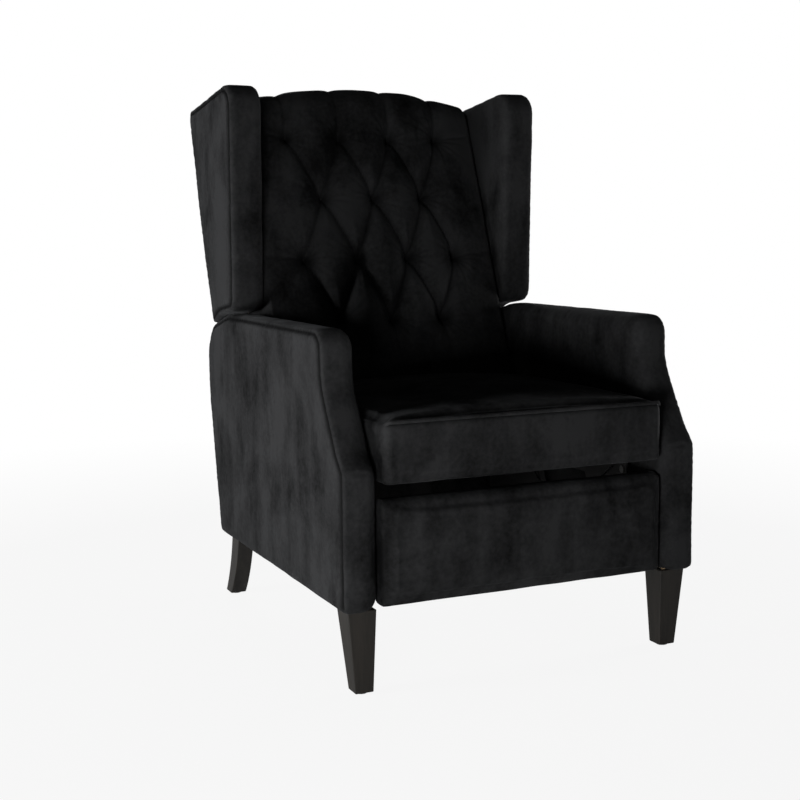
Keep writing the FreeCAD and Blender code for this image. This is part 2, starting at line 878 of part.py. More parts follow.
def knee(start, end, first, second):
    """Where two links of given lengths meet, on the rear side of the line from start to end."""
    run = (end[0] - start[0], end[1] - start[1])
    span = math.hypot(*run)
    along = (span**2 + first**2 - second**2) / (2 * span)
    off = math.sqrt(first**2 - along**2)
    unit = (run[0] / span, run[1] / span)
    return (start[0] + unit[0] * along - unit[1] * off, start[1] + unit[1] * along + unit[0] * off)


def shifted(point, offset):
    return (point[0] + offset[0], point[1] + offset[1])


rear_link_pivot = (rear_link_pivot_behind, seat_base - rear_link_pivot_drop)
footrest_pivot = (footrest_rear + footrest_pivot_behind, footrest_top - footrest_pivot_drop)
link_knee = knee(rear_link_pivot, footrest_pivot, rear_link_length, front_link_length)
guide_pivot = shifted(rear_link_pivot, guide_pivot_offset)
guide_end = shifted(link_knee, guide_knee_offset)
foot_link_start = shifted(link_knee, foot_link_knee_offset)
foot_link_end = shifted(footrest_pivot, foot_link_end_offset)
swing_tops = [(behind, seat_base - swing_top_drop) for behind in (front_swing_top, rear_swing_top)]
swing_angle = math.radians(swing_lean)
swing_reach = (-swing_length * math.sin(swing_angle), -swing_length * math.cos(swing_angle))
swing_feet = [shifted(top, swing_reach) for top in swing_tops]
loose = rivet_radius + running_clearance


def disc(point, radius, number, extra=0.0):
    """A round piece across a layer, at a pivot of the right side."""
    inner, outer = layer(number)
    return Part.makeCylinder(radius, outer - inner + 2 * extra, at(*point, inner - extra), Vector(1, 0, 0))


def strip(start, end, number, half=link_half_width):
    """A flat strip with round ends between two pivots."""
    inner, outer = layer(number)
    run = Vector(0, end[0] - start[0], end[1] - start[1])
    across = Vector(0, -run.z, run.y).normalize() * half
    a = at(*start, inner)
    b = at(*end, inner)
    face = Part.Face(Part.makePolygon([a + across, b + across, b - across, a - across, a + across]))
    bar = face.extrude(Vector(outer - inner, 0, 0))
    return bar.multiFuse([disc(start, half, number), disc(end, half, number)])


def drilled(shape, number, holes):
    """Cuts (point, radius) holes through a layer."""
    return shape.cut([disc(point, radius, number, 1.0) for point, radius in holes]).removeSplitter()


# Links


def rear_link():
    """From the seat plate back to the knee, with an ear for the footrest link."""
    body = strip(rear_link_pivot, link_knee, rear_link_layer)
    body = body.fuse(strip(link_knee, foot_link_start, rear_link_layer))
    holes = [(rear_link_pivot, loose), (link_knee, rivet_radius), (foot_link_start, rivet_radius)]
    return drilled(body, rear_link_layer, holes)


def front_link():
    """From the knee forward to the footrest bracket, with an ear for the guide link."""
    body = strip(link_knee, footrest_pivot, front_link_layer)
    body = body.fuse(strip(link_knee, guide_end, front_link_layer))
    holes = [(link_knee, loose), (guide_end, rivet_radius), (footrest_pivot, loose)]
    return drilled(body, front_link_layer, holes)


def guide_link():
    """From the seat plate to the front link's ear, where its eye is wider than the rivet."""
    body = strip(guide_pivot, guide_end, guide_layer)
    return drilled(body, guide_layer, [(guide_pivot, loose), (guide_end, rivet_radius + guide_slack)])


def foot_link():
    """From the rear link's ear to the footrest bracket, where its eye is wider than the rivet."""
    body = strip(foot_link_start, foot_link_end, foot_link_layer)
    holes = [(foot_link_start, loose), (foot_link_end, rivet_radius + guide_slack)]
    return drilled(body, foot_link_layer, holes)


def swing_links(index):
    """The front or the rear pair of links that carry the seat, one on each side."""
    body = strip(swing_feet[index], swing_tops[index], swing_layer)
    return both_sides([drilled(body, swing_layer, [(swing_feet[index], loose), (swing_tops[index], loose)])])


# Plates and brackets


def seat_plate():
    """The steel angle under one side of the seat, with a slot at its rear for the back's drive pin."""
    inner, outer = layer(seat_layer)
    half, frame_front, frame_rear, frame_low, frame_high = seat_frame_size()
    front = rear_link_pivot[0] - plate_edge
    low = swing_tops[0][1] - plate_corner
    slot_bottom = drive_pin[1] - drive_slot_below
    slot_top = drive_pin[1] + drive_slot_above
    slot_half = rivet_radius + drive_slack
    tail_low = slot_bottom - slot_half - plate_edge
    tail_high = seat_base - seat_plate_drop
    rear = drive_pin[0] + drive_slot_edge
    flange_rear = frame_rear - seat_flange_inset
    outline = [
        (front, low, plate_corner),
        (front, seat_base + plate),
        (flange_rear, seat_base + plate),
        (flange_rear, tail_high),
        (rear, tail_high, plate_corner),
        (rear, tail_low, plate_corner),
        (rear_swing_top + seat_plate_step, tail_low, plate_corner),
        (rear_swing_top + seat_plate_step / 2, low, plate_corner),
    ]
    body = side_prism(outline, inner, outer)
    flange = block(inner - flange_width, inner, front, flange_rear, seat_base, seat_base + plate)
    slot = strip((drive_pin[0], slot_bottom), (drive_pin[0], slot_top), seat_layer, slot_half)
    holes = [(rear_link_pivot, rivet_radius), (guide_pivot, rivet_radius)]
    holes += [(top, rivet_radius) for top in swing_tops]
    return drilled(body.fuse(flange).cut(slot), seat_layer, holes)


def footrest_bracket():
    """The steel angle on the rear of the footrest board that carries both links."""
    inner, outer = layer(seat_layer)
    low = footrest_pivot[1] - plate_edge
    high = foot_link_end[1] + plate_edge
    outline = [
        (footrest_rear, low),
        (footrest_rear, high),
        (foot_link_end[0] + plate_edge, high, plate_corner),
        (foot_link_end[0] + plate_edge, foot_link_end[1] - plate_corner, plate_corner),
        (footrest_pivot[0] + plate_edge, low, plate_corner),
    ]
    flange = block(inner - flange_width, inner, footrest_rear, footrest_rear + plate, low, high)
    body = side_prism(outline, inner, outer).fuse(flange)
    return drilled(body, seat_layer, [(footrest_pivot, rivet_radius), (foot_link_end, rivet_radius)])


def back_bracket():
    """The steel plate on the side of a back post: it turns on the back pivot and carries the drive pin."""
    inner, outer = layer(swing_layer)
    high = back_pivot[1] + bracket_rise
    low = drive_pin[1] - plate_edge
    post_rear = back_rear(back_bottom) - back_panel_thickness
    outline = [
        (drive_pin[0] - plate_edge, low, plate_corner),
        (back_pivot[0] - 2 * plate_corner, back_pivot[1], plate_edge),
        (back_pivot[0] - plate_edge, high, plate_corner),
        (back_pivot[0] + 2 * plate_corner, high, plate_corner),
        (post_rear, back_pivot[1] - plate_edge, plate_edge),
        (drive_pin[0] + plate_edge, low, plate_corner),
    ]
    holes = [(back_pivot, pivot_bolt_radius + running_clearance), (drive_pin, rivet_radius)]
    holes += [(point, screw_radius) for point in back_screw_points()]
    return drilled(side_prism(outline, inner, outer), swing_layer, holes)


def base_plate():
    """The steel plate screwed to the inside of an arm: swing link feet, cross tubes and the back pivot."""
    inner, outer = layer(base_layer)
    front = swing_feet[0][0] - base_plate_edge
    low = tube_height - base_plate_edge
    step = swing_feet[0][1] + base_plate_edge
    pivot_edge = 2 * plate_edge
    high = back_pivot[1] + pivot_edge
    outline = [
        (front, low, plate_corner),
        (front, step, plate_corner),
        (swing_feet[1][0] + 2 * base_plate_edge, step, pivot_edge),
        (back_pivot[0] - pivot_edge, back_pivot[1] - base_plate_rise, pivot_edge),
        (back_pivot[0] - pivot_edge, high, plate_edge),
        (back_pivot[0] + pivot_edge, high, plate_edge),
        (rear_panel_face(low) - rear_panel_depth - base_plate_clearance, low, plate_corner),
    ]
    holes = [(foot, rivet_radius) for foot in swing_feet] + [(back_pivot, pivot_bolt_radius)]
    holes += [(point, screw_radius) for point in base_screw_points()]
    return drilled(side_prism(outline, inner, outer), base_layer, holes)


def cross_tubes():
    """Two round tubes that hold the base plates apart."""
    inner, outer = layer(base_layer)
    tubes = []
    for behind in (front_tube_behind, back_pivot[0] - rear_tube_inset):
        place = at(behind, tube_height, -inner)
        bore = Part.makeCylinder(tube_radius - tube_wall, 2 * inner, place, Vector(1, 0, 0))
        tubes.append(Part.makeCylinder(tube_radius, 2 * inner, place, Vector(1, 0, 0)).cut(bore))
    return Part.makeCompound(tubes)


# Rivets and bolts


def rivet(point, from_layer, to_layer, radius=rivet_radius, outer_head=True):
    """A rivet through the plates from one layer to another, with a collar between and a head at each end."""
    outer = layer(from_layer)[1]
    inner = layer(to_layer)[0]
    head = radius + rivet_collar
    along = Vector(1, 0, 0)
    low = inner - rivet_head
    high = outer + (rivet_head if outer_head else 0)
    pieces = [Part.makeCylinder(head, rivet_head, at(*point, low), along)]
    if outer_head:
        pieces.append(Part.makeCylinder(head, rivet_head, at(*point, outer), along))
    collar_from = inner + plate + collar_clearance
    collar_to = outer - plate - collar_clearance
    pieces.append(Part.makeCylinder(head, collar_to - collar_from, at(*point, collar_from), along))
    shank = Part.makeCylinder(radius, high - low, at(*point, low), along)
    return shank.multiFuse(pieces).removeSplitter()


def base_rivets():
    return both_sides([rivet(foot, base_layer, swing_layer, outer_head=False) for foot in swing_feet])


def back_pivot_bolts():
    """The bolts that the back turns on, screwed into the arm frames."""
    bolt = rivet(back_pivot, base_layer, swing_layer, pivot_bolt_radius, outer_head=False)
    place = at(*back_pivot, arm_inner)
    anchor = Part.makeCylinder(pivot_bolt_radius, pivot_bolt_length, place, Vector(1, 0, 0))
    return both_sides([bolt.fuse(anchor).removeSplitter()])


def back_drive_pins():
    return both_sides([rivet(drive_pin, swing_layer, seat_layer)])


def seat_rivets():
    pieces = [rivet(top, swing_layer, seat_layer) for top in swing_tops]
    pieces.append(rivet(rear_link_pivot, rear_link_layer, seat_layer))
    pieces.append(rivet(guide_pivot, seat_layer, guide_layer))
    return both_sides(pieces)


def rear_link_rivets():
    knee_rivet = rivet(link_knee, rear_link_layer, front_link_layer)
    ear_rivet = rivet(foot_link_start, foot_link_layer, rear_link_layer)
    return both_sides([knee_rivet, ear_rivet])


def front_link_rivets():
    return both_sides([rivet(guide_end, guide_layer, front_link_layer)])


def footrest_rivets():
    first = rivet(footrest_pivot, seat_layer, front_link_layer)
    second = rivet(foot_link_end, foot_link_layer, seat_layer)
    return both_sides([first, second])


# Screws


def screw(place, direction, length):
    """A pan-head screw whose head lies on the surface at place, pointing along direction."""
    shank = Part.makeCylinder(screw_radius, length, place, direction)
    head = Part.makeCylinder(screw_head_radius, screw_head, place, direction * -1)
    return shank.fuse(head).removeSplitter()


def base_screw_points():
    """Four places along the bottom of a base plate, clear of the cross tubes' ends."""
    low = tube_height - base_screw_drop
    rear_tube = back_pivot[0] - rear_tube_inset
    places = (swing_feet[0][0], swing_feet[1][0], rear_tube - 2 * tube_radius, rear_tube + 2 * tube_radius)
    return [(behind, low) for behind in places]


def base_screws():
    """Screws through the base plates into the arm frames' bottom rails."""
    inner, outer = layer(base_layer)
    along = Vector(1, 0, 0)
    return both_sides([screw(at(*p, inner), along, frame_screw_length) for p in base_screw_points()])


def back_screw_points():
    """Two places on a back bracket, in the middle of the post behind it, above and below the pivot."""
    places = []
    for z in (back_pivot[1] + bracket_rise - plate_edge, back_pivot[1] - bracket_rise):
        post_middle = back_rear(z) - back_panel_thickness - back_post_depth / 2
        places.append((post_middle - plate_corner, z))
    return places


def back_screws():
    """Screws through the back brackets into the posts."""
    inner, outer = layer(swing_layer)
    length = back_post_width - plate
    return both_sides([screw(at(*p, outer), Vector(-1, 0, 0), length) for p in back_screw_points()])


def seat_screws():
    """Screws up through the seat plates' flanges into the side rails."""
    half, front, rear, low, high = seat_frame_size()
    x = half - seat_rail_thickness / 2
    start = rear_link_pivot[0] + 2 * plate_edge
    step = (rear - start) / 3
    places = [at(start + step * (i + 0.5), seat_base, x) for i in range(3)]
    return both_sides([screw(place, Vector(0, 0, 1), seat_screw_length) for place in places])


def footrest_screws():
    """Screws through the footrest brackets into the board."""
    inner, outer = layer(seat_layer)
    x = inner - footrest_screw_inset
    places = [at(footrest_rear + plate, z, x) for z in (footrest_pivot[1], foot_link_end[1])]
    return both_sides([screw(place, Vector(0, -1, 0), footrest_screw_length) for place in places])


PAIRED = {
    "arm_cover": arm_cover,
    "arm_frame": arm_frame,
    "front_leg": front_leg,
    "rear_leg": rear_leg,
    "base_plate": base_plate,
    "seat_side_rail": seat_side_rail,
    "seat_plate": seat_plate,
    "rear_link": rear_link,
    "front_link": front_link,
    "guide_link": guide_link,
    "foot_link": foot_link,
    "footrest_bracket": footrest_bracket,
    "wing_cover": wing_cover,
    "wing_frame": wing_frame,
    "back_bracket": back_bracket,
}

SINGLE = {
    "leg_glides": leg_glides,
    "leg_bolts": leg_bolts,
    "rear_panel_cover": rear_panel_cover,
    "rear_panel_rail": rear_panel_rail,
    "cross_tubes": cross_tubes,
    "front_swing_links": lambda: swing_links(0),
    "rear_swing_links": lambda: swing_links(1),
    "seat_cushion": seat_cushion,
    "seat_cross_rails": seat_cross_rails,
    "seat_dust_cover": seat_dust_cover,
    "seat_springs": seat_springs,
    "seat_piping": seat_piping,
    "footrest_board": footrest_board,
    "footrest_pad": footrest_pad,
    "back_cushion": back_cushion,
    "back_frame": back_frame,
    "back_webbing": back_webbing,
    "back_panel": back_panel,
    "base_rivets": base_rivets,
    "back_pivot_bolts": back_pivot_bolts,
    "back_drive_pins": back_drive_pins,
    "seat_rivets": seat_rivets,
    "rear_link_rivets": rear_link_rivets,
    "front_link_rivets": front_link_rivets,
    "footrest_rivets": footrest_rivets,
    "base_screws": base_screws,
    "seat_screws": seat_screws,
    "back_screws": back_screws,
    "footrest_screws": footrest_screws,
}


def write(name, shape):
    """Writes one piece and prints its size."""
    shape.exportStep("parts/" + name + ".step")
    box = shape.BoundBox
    print(f"{name:26s} solids {len(shape.Solids):2d} valid {shape.isValid()}", end=" ")
    print(f"{shape.Volume / 1000:9.1f} cm3 x {box.XMin:7.1f} {box.XMax:7.1f}", end=" ")
    print(f"y {box.YMin:7.1f} {box.YMax:7.1f} z {box.ZMin:7.1f} {box.ZMax:7.1f}")


for name, make in PAIRED.items():
    right = make()
    write(name + "_right", right)
    write(name + "_left", mirrored(right))

for name, make in SINGLE.items():
    write(name, make())
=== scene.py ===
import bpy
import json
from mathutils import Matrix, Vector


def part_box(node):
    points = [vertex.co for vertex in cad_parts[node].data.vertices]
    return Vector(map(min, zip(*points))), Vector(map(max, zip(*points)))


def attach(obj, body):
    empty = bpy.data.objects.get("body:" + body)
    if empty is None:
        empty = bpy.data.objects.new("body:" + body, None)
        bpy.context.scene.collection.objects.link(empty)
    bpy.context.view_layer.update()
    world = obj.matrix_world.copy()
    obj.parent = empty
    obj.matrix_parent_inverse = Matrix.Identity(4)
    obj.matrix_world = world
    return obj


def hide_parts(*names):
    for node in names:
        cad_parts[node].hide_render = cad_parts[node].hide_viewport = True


bl_info = {
    "name": "Tufted Wingback Recliner",
    "version": (1, 0, 0),
    "blender": (4, 5, 0),
    "location": "3D View > Sidebar > Recliner",
    "description": "Dresses the construction of a wingback recliner in tufted velvet, stained wood and steel",
    "category": "Object",
}

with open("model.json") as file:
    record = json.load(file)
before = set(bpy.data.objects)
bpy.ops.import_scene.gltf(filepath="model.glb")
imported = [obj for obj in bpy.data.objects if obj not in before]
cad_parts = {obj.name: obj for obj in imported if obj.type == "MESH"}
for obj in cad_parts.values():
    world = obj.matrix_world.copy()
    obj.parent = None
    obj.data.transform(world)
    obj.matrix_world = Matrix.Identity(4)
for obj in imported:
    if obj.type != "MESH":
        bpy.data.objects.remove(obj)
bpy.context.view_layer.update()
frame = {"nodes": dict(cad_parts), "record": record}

import json
import math

import bmesh
import bpy
import numpy as np
from bpy.props import FloatProperty, FloatVectorProperty, IntProperty, PointerProperty
from mathutils import Matrix, Vector, noise
from mathutils.bvhtree import BVHTree

# Places read from the construction, in metres. X to the right, Y to the back, Z up from the floor.
arm_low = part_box("arm_cover_right")[0]
seat_low, seat_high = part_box("seat_cushion")
panel_low, panel_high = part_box("back_panel")
cushion_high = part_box("back_cushion")[1]
footrest_low, footrest_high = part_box("footrest_pad")
board_low, board_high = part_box("footrest_board")
dust_low, dust_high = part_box("seat_dust_cover")
piping_low, piping_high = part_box("seat_piping")

MILLIMETRE = 0.001
FINISH = "_finish"
WHITE = (1.0, 1.0, 1.0, 1.0)
SIDES = {"right": 1, "left": -1}

# Points nearer than this are one, and a place with no seam counts as this far from the next one
MERGE = 1e-5
FAR = 10.0

# The seat's top in front of the back, and how deep the back's rear panel and its frame are
SEAT_TOP = seat_low.z + 0.106
PANEL_THICKNESS = 0.012
FRAME_DEPTH = 0.050

# Tufts in each row of the back, from the lowest
TUFT_COUNTS = (3, 4, 3, 4)

# The back cushion's rings: steps along the underside and its roll, up the front and along the other lines
LOW_STEPS = 8
FRONT_STEPS = 200
CREST_START = 2 * LOW_STEPS + FRONT_STEPS
RING_LINES = (LOW_STEPS, FRONT_STEPS, 5, 10, 8, 16)

# Heights of the back between which its tufted face begins and ends, measured over the crest as cloth
FACE_BEGINS = (0.405, 0.470)
FACE_ENDS = (1.055, 1.130)

# Where the back is low enough to stand between the arms, it is this much narrower
LOW_HALF_WIDTH = 0.2622
LOW_HEIGHTS = (0.484, 0.500)


def size(name, description, default):
    """A length that can be changed in the sidebar."""
    return FloatProperty(name=name, description=description, default=default, unit="LENGTH", precision=4)


def share(name, description, default, highest=1.0):
    """A plain number from nought upwards."""
    return FloatProperty(name=name, description=description, default=default, min=0.0, max=highest)


def angle(name, description, degrees):
    """An angle, given in degrees."""
    return FloatProperty(name=name, description=description, default=math.radians(degrees), subtype="ANGLE")


def colour(name, description, default):
    """A colour, in scene light."""
    return FloatVectorProperty(name=name, description=description, default=default, subtype="COLOR", size=3)


class VelvetSettings(bpy.types.PropertyGroup):
    """Short-pile velvet"""

    # The pile colour is the velvet's own near black; the brushed colour below it is partly the pile's own
    # tone and partly painted sheen.
    pile: colour("Pile", "Colour of the pile where it lies away from the light", (0.0065, 0.0066, 0.0070))
    nap: colour("Nap", "Colour of the pile where it is brushed towards the light", (0.040, 0.0405, 0.042))
    patch: size("Patch", "Width of a brushed patch", 0.075)
    streak: size("Streak", "Width of a brush streak", 0.024)
    lain_sheen: share("Lain sheen", "Sheen of the flattened pile", 0.01)
    raised_sheen: share("Raised sheen", "Sheen of the raised pile", 0.10)
    pile_height: size("Pile height", "Height of the pile's fine roughness", 0.0004)


class WoodSettings(bpy.types.PropertyGroup):
    """Stained legs and plain frame wood"""

    stain: colour("Stain", "Darker colour of the stained legs", (0.016, 0.0145, 0.012))
    stain_light: colour("Stain light", "Lighter colour of the stained legs' grain", (0.034, 0.029, 0.024))
    board: colour("Board", "Colour of the frame wood", (0.50, 0.36, 0.22))
    board_dark: colour("Board dark", "Colour of the frame wood's grain", (0.36, 0.24, 0.14))
    grain: size("Grain", "Width of a grain line", 0.004)
    edge: size("Edge", "Rounding of the legs' edges", 0.0016)


class SteelSettings(bpy.types.PropertyGroup):
    """Mechanism, screws and springs"""

    coat: colour("Coat", "Powder coat of the mechanism", (0.020, 0.020, 0.021))
    zinc: colour("Zinc", "Plated rivets and screws", (0.26, 0.26, 0.255))
    wire: colour("Wire", "Spring wire", (0.16, 0.155, 0.15))
    nylon: colour("Nylon", "Floor glides", (0.03, 0.03, 0.031))
    cloth: colour("Dust cloth", "Cloth under the seat", (0.016, 0.016, 0.017))
    webbing: colour("Webbing", "Elastic webbing", (0.06, 0.058, 0.055))


class BackSettings(bpy.types.PropertyGroup):
    """Tufted back cushion"""

    thickness: size("Thickness", "From the rear to the front edge, at the seat", 0.1538)
    taper: share("Taper", "How much steeper the front leans than the rear", 0.065)
    crown: size("Crown", "How far the middle stands in front of the side edges", 0.033)
    crest_drop: size("Crest drop", "How far the crest falls to its sides", 0.033)
    crest_puff: size("Crest puff", "How far the filling lifts the crest", 0.006)
    crest_radius: size("Crest radius", "Roll over the top", 0.052)
    low_radius: size("Low radius", "Roll under the bottom", 0.024)
    side_roll: size("Side roll", "Rounding towards the wings", 0.016)
    pitch: size("Tuft pitch", "From tuft to tuft across the back", 0.114)
    rise: size("Row rise", "From one row of tufts to the next", 0.124)
    first_rise: size("First rise", "From the seat's top to the lowest row of tufts", 0.124)
    pillow: size("Pillow", "How far the filling stands above the pleats", 0.015)
    pleat_sink: size("Pleat sink", "How deep the pleats lie under the cushion's plain face", 0.006)
    pleat_width: size("Pleat width", "How fast a pillow rises beside its pleat", 0.013)
    tuft_depth: size("Tuft depth", "How deep a tuft is pulled in below its pleats", 0.021)
    tuft_width: size("Tuft width", "Width of the pit round a tuft", 0.018)
    gathers: size("Gathers", "Height of the fine wrinkles round a tuft", 0.0024)
    step: size("Step", "Spacing of the surface's points", 0.0032)


class PaddingSettings(bpy.types.PropertyGroup):
    """Upholstered arms, wings, seat and footrest"""

    voxel: size("Voxel", "Spacing of the padded surfaces' points", 0.006)
    pressure: share("Pressure", "How hard the filling presses", 9.0, 20.0)
    frames: IntProperty(name="Frames", description="How long the filling is let out", default=20, min=1)
    cloth: size("Cloth", "Thickness of the cloth over the plain form", 0.0010)
    sink: size("Sink", "How much smaller a cushion starts", 0.003)
    reach: size("Reach", "How far the filling may lift the cover", 0.008)
    slip: size("Slip", "How far the cover may slide along itself", 0.004)
    seam_depth: size("Seam depth", "Depth of the seams", 0.0038)
    seam_width: size("Seam width", "Half the width of a seam", 0.0036)
    pucker: size("Pucker", "Height of the puckers beside a seam", 0.0009)
    wave: size("Wave", "Height of the slow unevenness of the cover", 0.0009)
    welt: size("Welt", "Radius of the piped seam", 0.0031)


class FixingSettings(bpy.types.PropertyGroup):
    """Staples and screw heads"""

    staple_gap: size("Staple gap", "From one staple to the next", 0.028)
    staple_length: size("Staple length", "Length of a staple's crown", 0.0098)
    staple_wire: size("Staple wire", "Half the thickness of a staple's wire", 0.0006)
    screw_radius: size("Screw radius", "Radius of a screw head", 0.0053)
    screw_height: size("Screw height", "Height of a screw head", 0.0021)
    seed: IntProperty(name="Seed", description="Which random turn each fixing gets", default=7)


class StageSettings(bpy.types.PropertyGroup):
    """Floor, lamps and camera"""

    floor: colour("Floor", "Colour of the floor", (0.82, 0.82, 0.82))
    floor_side: size("Floor side", "Length of the floor's side", 30.0)
    key: share("Key lamp", "Strength of the lamp at the left, in watts", 47.0, 1000.0)
    front: share("Front lamp", "Strength of the lamp at the front, in watts", 12.0, 1000.0)
    right: share("Right lamp", "Strength of the lamp at the right, in watts", 34.0, 1000.0)
    top: share("Top lamp", "Strength of the lamp above, in watts", 0.7, 1000.0)
    rear: share("Rear lamp", "Strength of the lamp behind, in watts", 22.0, 1000.0)
    ambient: share("Ambient", "Strength of the light from all round", 0.010)
    lens: FloatProperty(name="Lens", description="Focal length, 36 mm sensor", default=60.50, unit="CAMERA")
    yaw: angle("Yaw", "Camera's turn", -23.99)
    pitch: angle("Pitch", "Camera's tilt", 7.25)
    roll: angle("Roll", "Camera's roll", -0.71)
    eye: FloatVectorProperty(
        name="Eye", description="Camera's place", default=(-1.1065, -2.3831, 0.7596), subtype="TRANSLATION"
    )


SETTINGS = {
    "recliner_velvet": VelvetSettings,
    "recliner_wood": WoodSettings,
    "recliner_steel": SteelSettings,
    "recliner_back": BackSettings,
    "recliner_padding": PaddingSettings,
    "recliner_fixings": FixingSettings,
    "recliner_stage": StageSettings,
}


# Shaders


class Value:
    """An output of a shader node, which can stand in sums, products and quotients."""

    def __init__(self, shader, socket):
        self.shader = shader
        self.socket = socket

    def maths(self, operation, first, second):
        return self.shader.node("Math", {"operation": operation}, {0: first, 1: second})[0]

    def __add__(self, other):
        return self.maths("ADD", self, other)

    def __radd__(self, other):
        return self.maths("ADD", other, self)

    def __sub__(self, other):
        return self.maths("SUBTRACT", self, other)

    def __rsub__(self, other):
        return self.maths("SUBTRACT", other, self)

    def __mul__(self, other):
        return self.maths("MULTIPLY", self, other)

    def __rmul__(self, other):
        return self.maths("MULTIPLY", other, self)

    def __truediv__(self, other):
        return self.maths("DIVIDE", self, other)


class Outputs:
    """The outputs of one node, by name or number."""

    def __init__(self, shader, node):
        self.shader = shader
        self.node = node

    def __getitem__(self, key):
        return Value(self.shader, self.node.outputs[key])


class Shader:
    """A material made of nodes, or a world."""

    def __init__(self, name, world=False):
        self.kind = "World" if world else "Material"
        self.owner = bpy.data.worlds.new(name) if world else bpy.data.materials.new(name + FINISH)
        self.owner.use_nodes = True
        self.tree = self.owner.node_tree
        self.tree.nodes.clear()

    def node(self, kind, settings=None, sockets=None):
        """Adds a node: first its settings, then the values or links of its sockets."""
        node = self.tree.nodes.new("ShaderNode" + kind)
        for key, value in (settings or {}).items():
            if key == "stops":
                self.set_stops(node.color_ramp, value)
            else:
                setattr(node, key, value)
        for key, value in (sockets or {}).items():
            if isinstance(value, Value):
                self.tree.links.new(value.socket, node.inputs[key])
            else:
                node.inputs[key].default_value = value
        return Outputs(self, node)

    @staticmethod
    def set_stops(ramp, stops):
        for position, tone in stops[2:]:
            ramp.elements.new(position)
        for element, (position, tone) in zip(ramp.elements, stops):
            element.position = position
            element.color = (tone, tone, tone, 1.0)

    def coordinates(self, stretch=(1.0, 1.0, 1.0), shift=(0.0, 0.0, 0.0)):
        """The piece's own coordinates, in metres, stretched and shifted."""
        place = self.node("TexCoord")["Object"]
        return self.node("Mapping", None, {"Vector": place, "Scale": stretch, "Location": shift})[0]

    def noise(self, place, width, detail=3.0, roughness=0.5, distortion=0.0):
        """Cloudy noise whose patches are about a width across."""
        values = {"Vector": place, "Scale": 0.5 / width, "Detail": detail}
        values.update({"Roughness": roughness, "Distortion": distortion})
        return self.node("TexNoise", None, values)[0]

    def ramp(self, factor, *stops):
        return self.node("ValToRGB", {"stops": stops}, {0: factor})[0]

    def mix(self, factor, first, second):
        """Mixes two colours."""
        first, second = [(*c, 1.0) if isinstance(c, tuple) else c for c in (first, second)]
        return self.node("Mix", {"data_type": "RGBA"}, {0: factor, 6: first, 7: second})[2]

    def bump(self, height, distance, strength):
        return self.node("Bump", None, {"Height": height, "Distance": distance, "Strength": strength})[0]

    def principled(self, **sockets):
        """A surface. An underscore in a socket's name stands for a space."""
        values = {key.replace("_", " "): value for key, value in sockets.items()}
        return self.node("BsdfPrincipled", None, values)[0]

    def finish(self, surface):
        self.node("Output" + self.kind, None, {"Surface": surface})
        return self.owner


def rgb(value):
    return tuple(value)[:3]


def velvet(scene):
    """Black velvet: cloudy patches and streaks of brushed pile, their lighter colour partly the pile's own
    tone and partly painted sheen, and painted shade that darkens the seams, tufts and pleats.
    """
    settings = scene.recliner_velvet
    shader = Shader("velvet")
    plain = shader.coordinates()
    tall = shader.coordinates(stretch=(1.0, 1.0, 0.3), shift=(0.3, 0.1, 0.7))
    patches = shader.noise(plain, settings.patch, 4.0, 0.58, 0.5)
    streaks = shader.noise(tall, settings.streak, 3.0, 0.55, 0.3)
    specks = shader.noise(plain, 0.004, 2.0, 0.6)
    brushed = patches * 0.50 + streaks * 0.32 + specks * 0.18
    # Where the pile is brushed its colour is lighter: partly its own tone, partly painted sheen.
    nap = shader.ramp(brushed, (0.36, 0.0), (0.57, 1.0))
    # The crease attribute is painted shade in the seams, tuft pits and pleats: there the colour goes towards
    # near black and the pile stays lain.
    crease = shader.node("Attribute", {"attribute_name": "crease"})["Fac"]
    raised = nap * (1.0 - crease)
    tone = shader.mix(raised, rgb(settings.pile), rgb(settings.nap))
    # Painted shade: mixes in a near-black colour where the crease attribute is high.
    base = shader.mix(crease, tone, (0.0022, 0.0022, 0.0024))
    pile = shader.noise(plain, 0.0011, 2.0, 0.7)
    crush = shader.noise(plain, 0.012, 3.0, 0.6)
    normal = shader.bump(pile * 0.4 + crush * 0.6, settings.pile_height, 0.55)
    lain = shader.principled(
        Base_Color=base, Roughness=0.72, Normal=normal, Specular_IOR_Level=0.12,
        Sheen_Weight=settings.lain_sheen, Sheen_Roughness=0.45, Sheen_Tint=(0.80, 0.85, 0.92, 1.0),
    )
    stood = shader.principled(
        Base_Color=base, Roughness=0.92, Normal=normal, Specular_IOR_Level=0.08,
        Sheen_Weight=settings.raised_sheen, Sheen_Roughness=0.38, Sheen_Tint=(0.86, 0.89, 0.93, 1.0),
    )
    return shader.finish(shader.node("MixShader", None, {0: raised, 1: lain, 2: stood})[0])


def wood(name, dark, light, grain, coat, rough):
    """Straight-grained wood, its grain running up the piece."""
    shader = Shader(name)
    long = shader.coordinates(stretch=(1.0, 1.0, 0.06), shift=(0.2, 0.4, 0.0))
    bands = shader.noise(long, grain * 3, 4.0, 0.6, 0.8)
    pores = shader.noise(shader.coordinates(stretch=(1.0, 1.0, 0.04)), grain * 0.3, 2.0, 0.6)
    figure = shader.ramp(bands * 0.7 + pores * 0.3, (0.36, 0.0), (0.66, 1.0))
    rub = shader.noise(shader.coordinates(), 0.03, 3.0, 0.5)
    values = {
        "Base_Color": shader.mix(figure, rgb(dark), rgb(light)),
        "Roughness": rough + 0.14 * rub,
        "Normal": shader.bump(pores * 0.7 + bands * 0.3, 0.0003, 0.35),
        "Coat_Weight": coat,
        "Coat_Roughness": 0.25,
    }
    return shader.finish(shader.principled(**values))


def leg_wood(scene):
    settings = scene.recliner_wood
    return wood("leg_wood", settings.stain, settings.stain_light, settings.grain, 0.30, 0.34)


def frame_wood(scene):
    settings = scene.recliner_wood
    return wood("frame_wood", settings.board_dark, settings.board, settings.grain * 1.6, 0.0, 0.62)


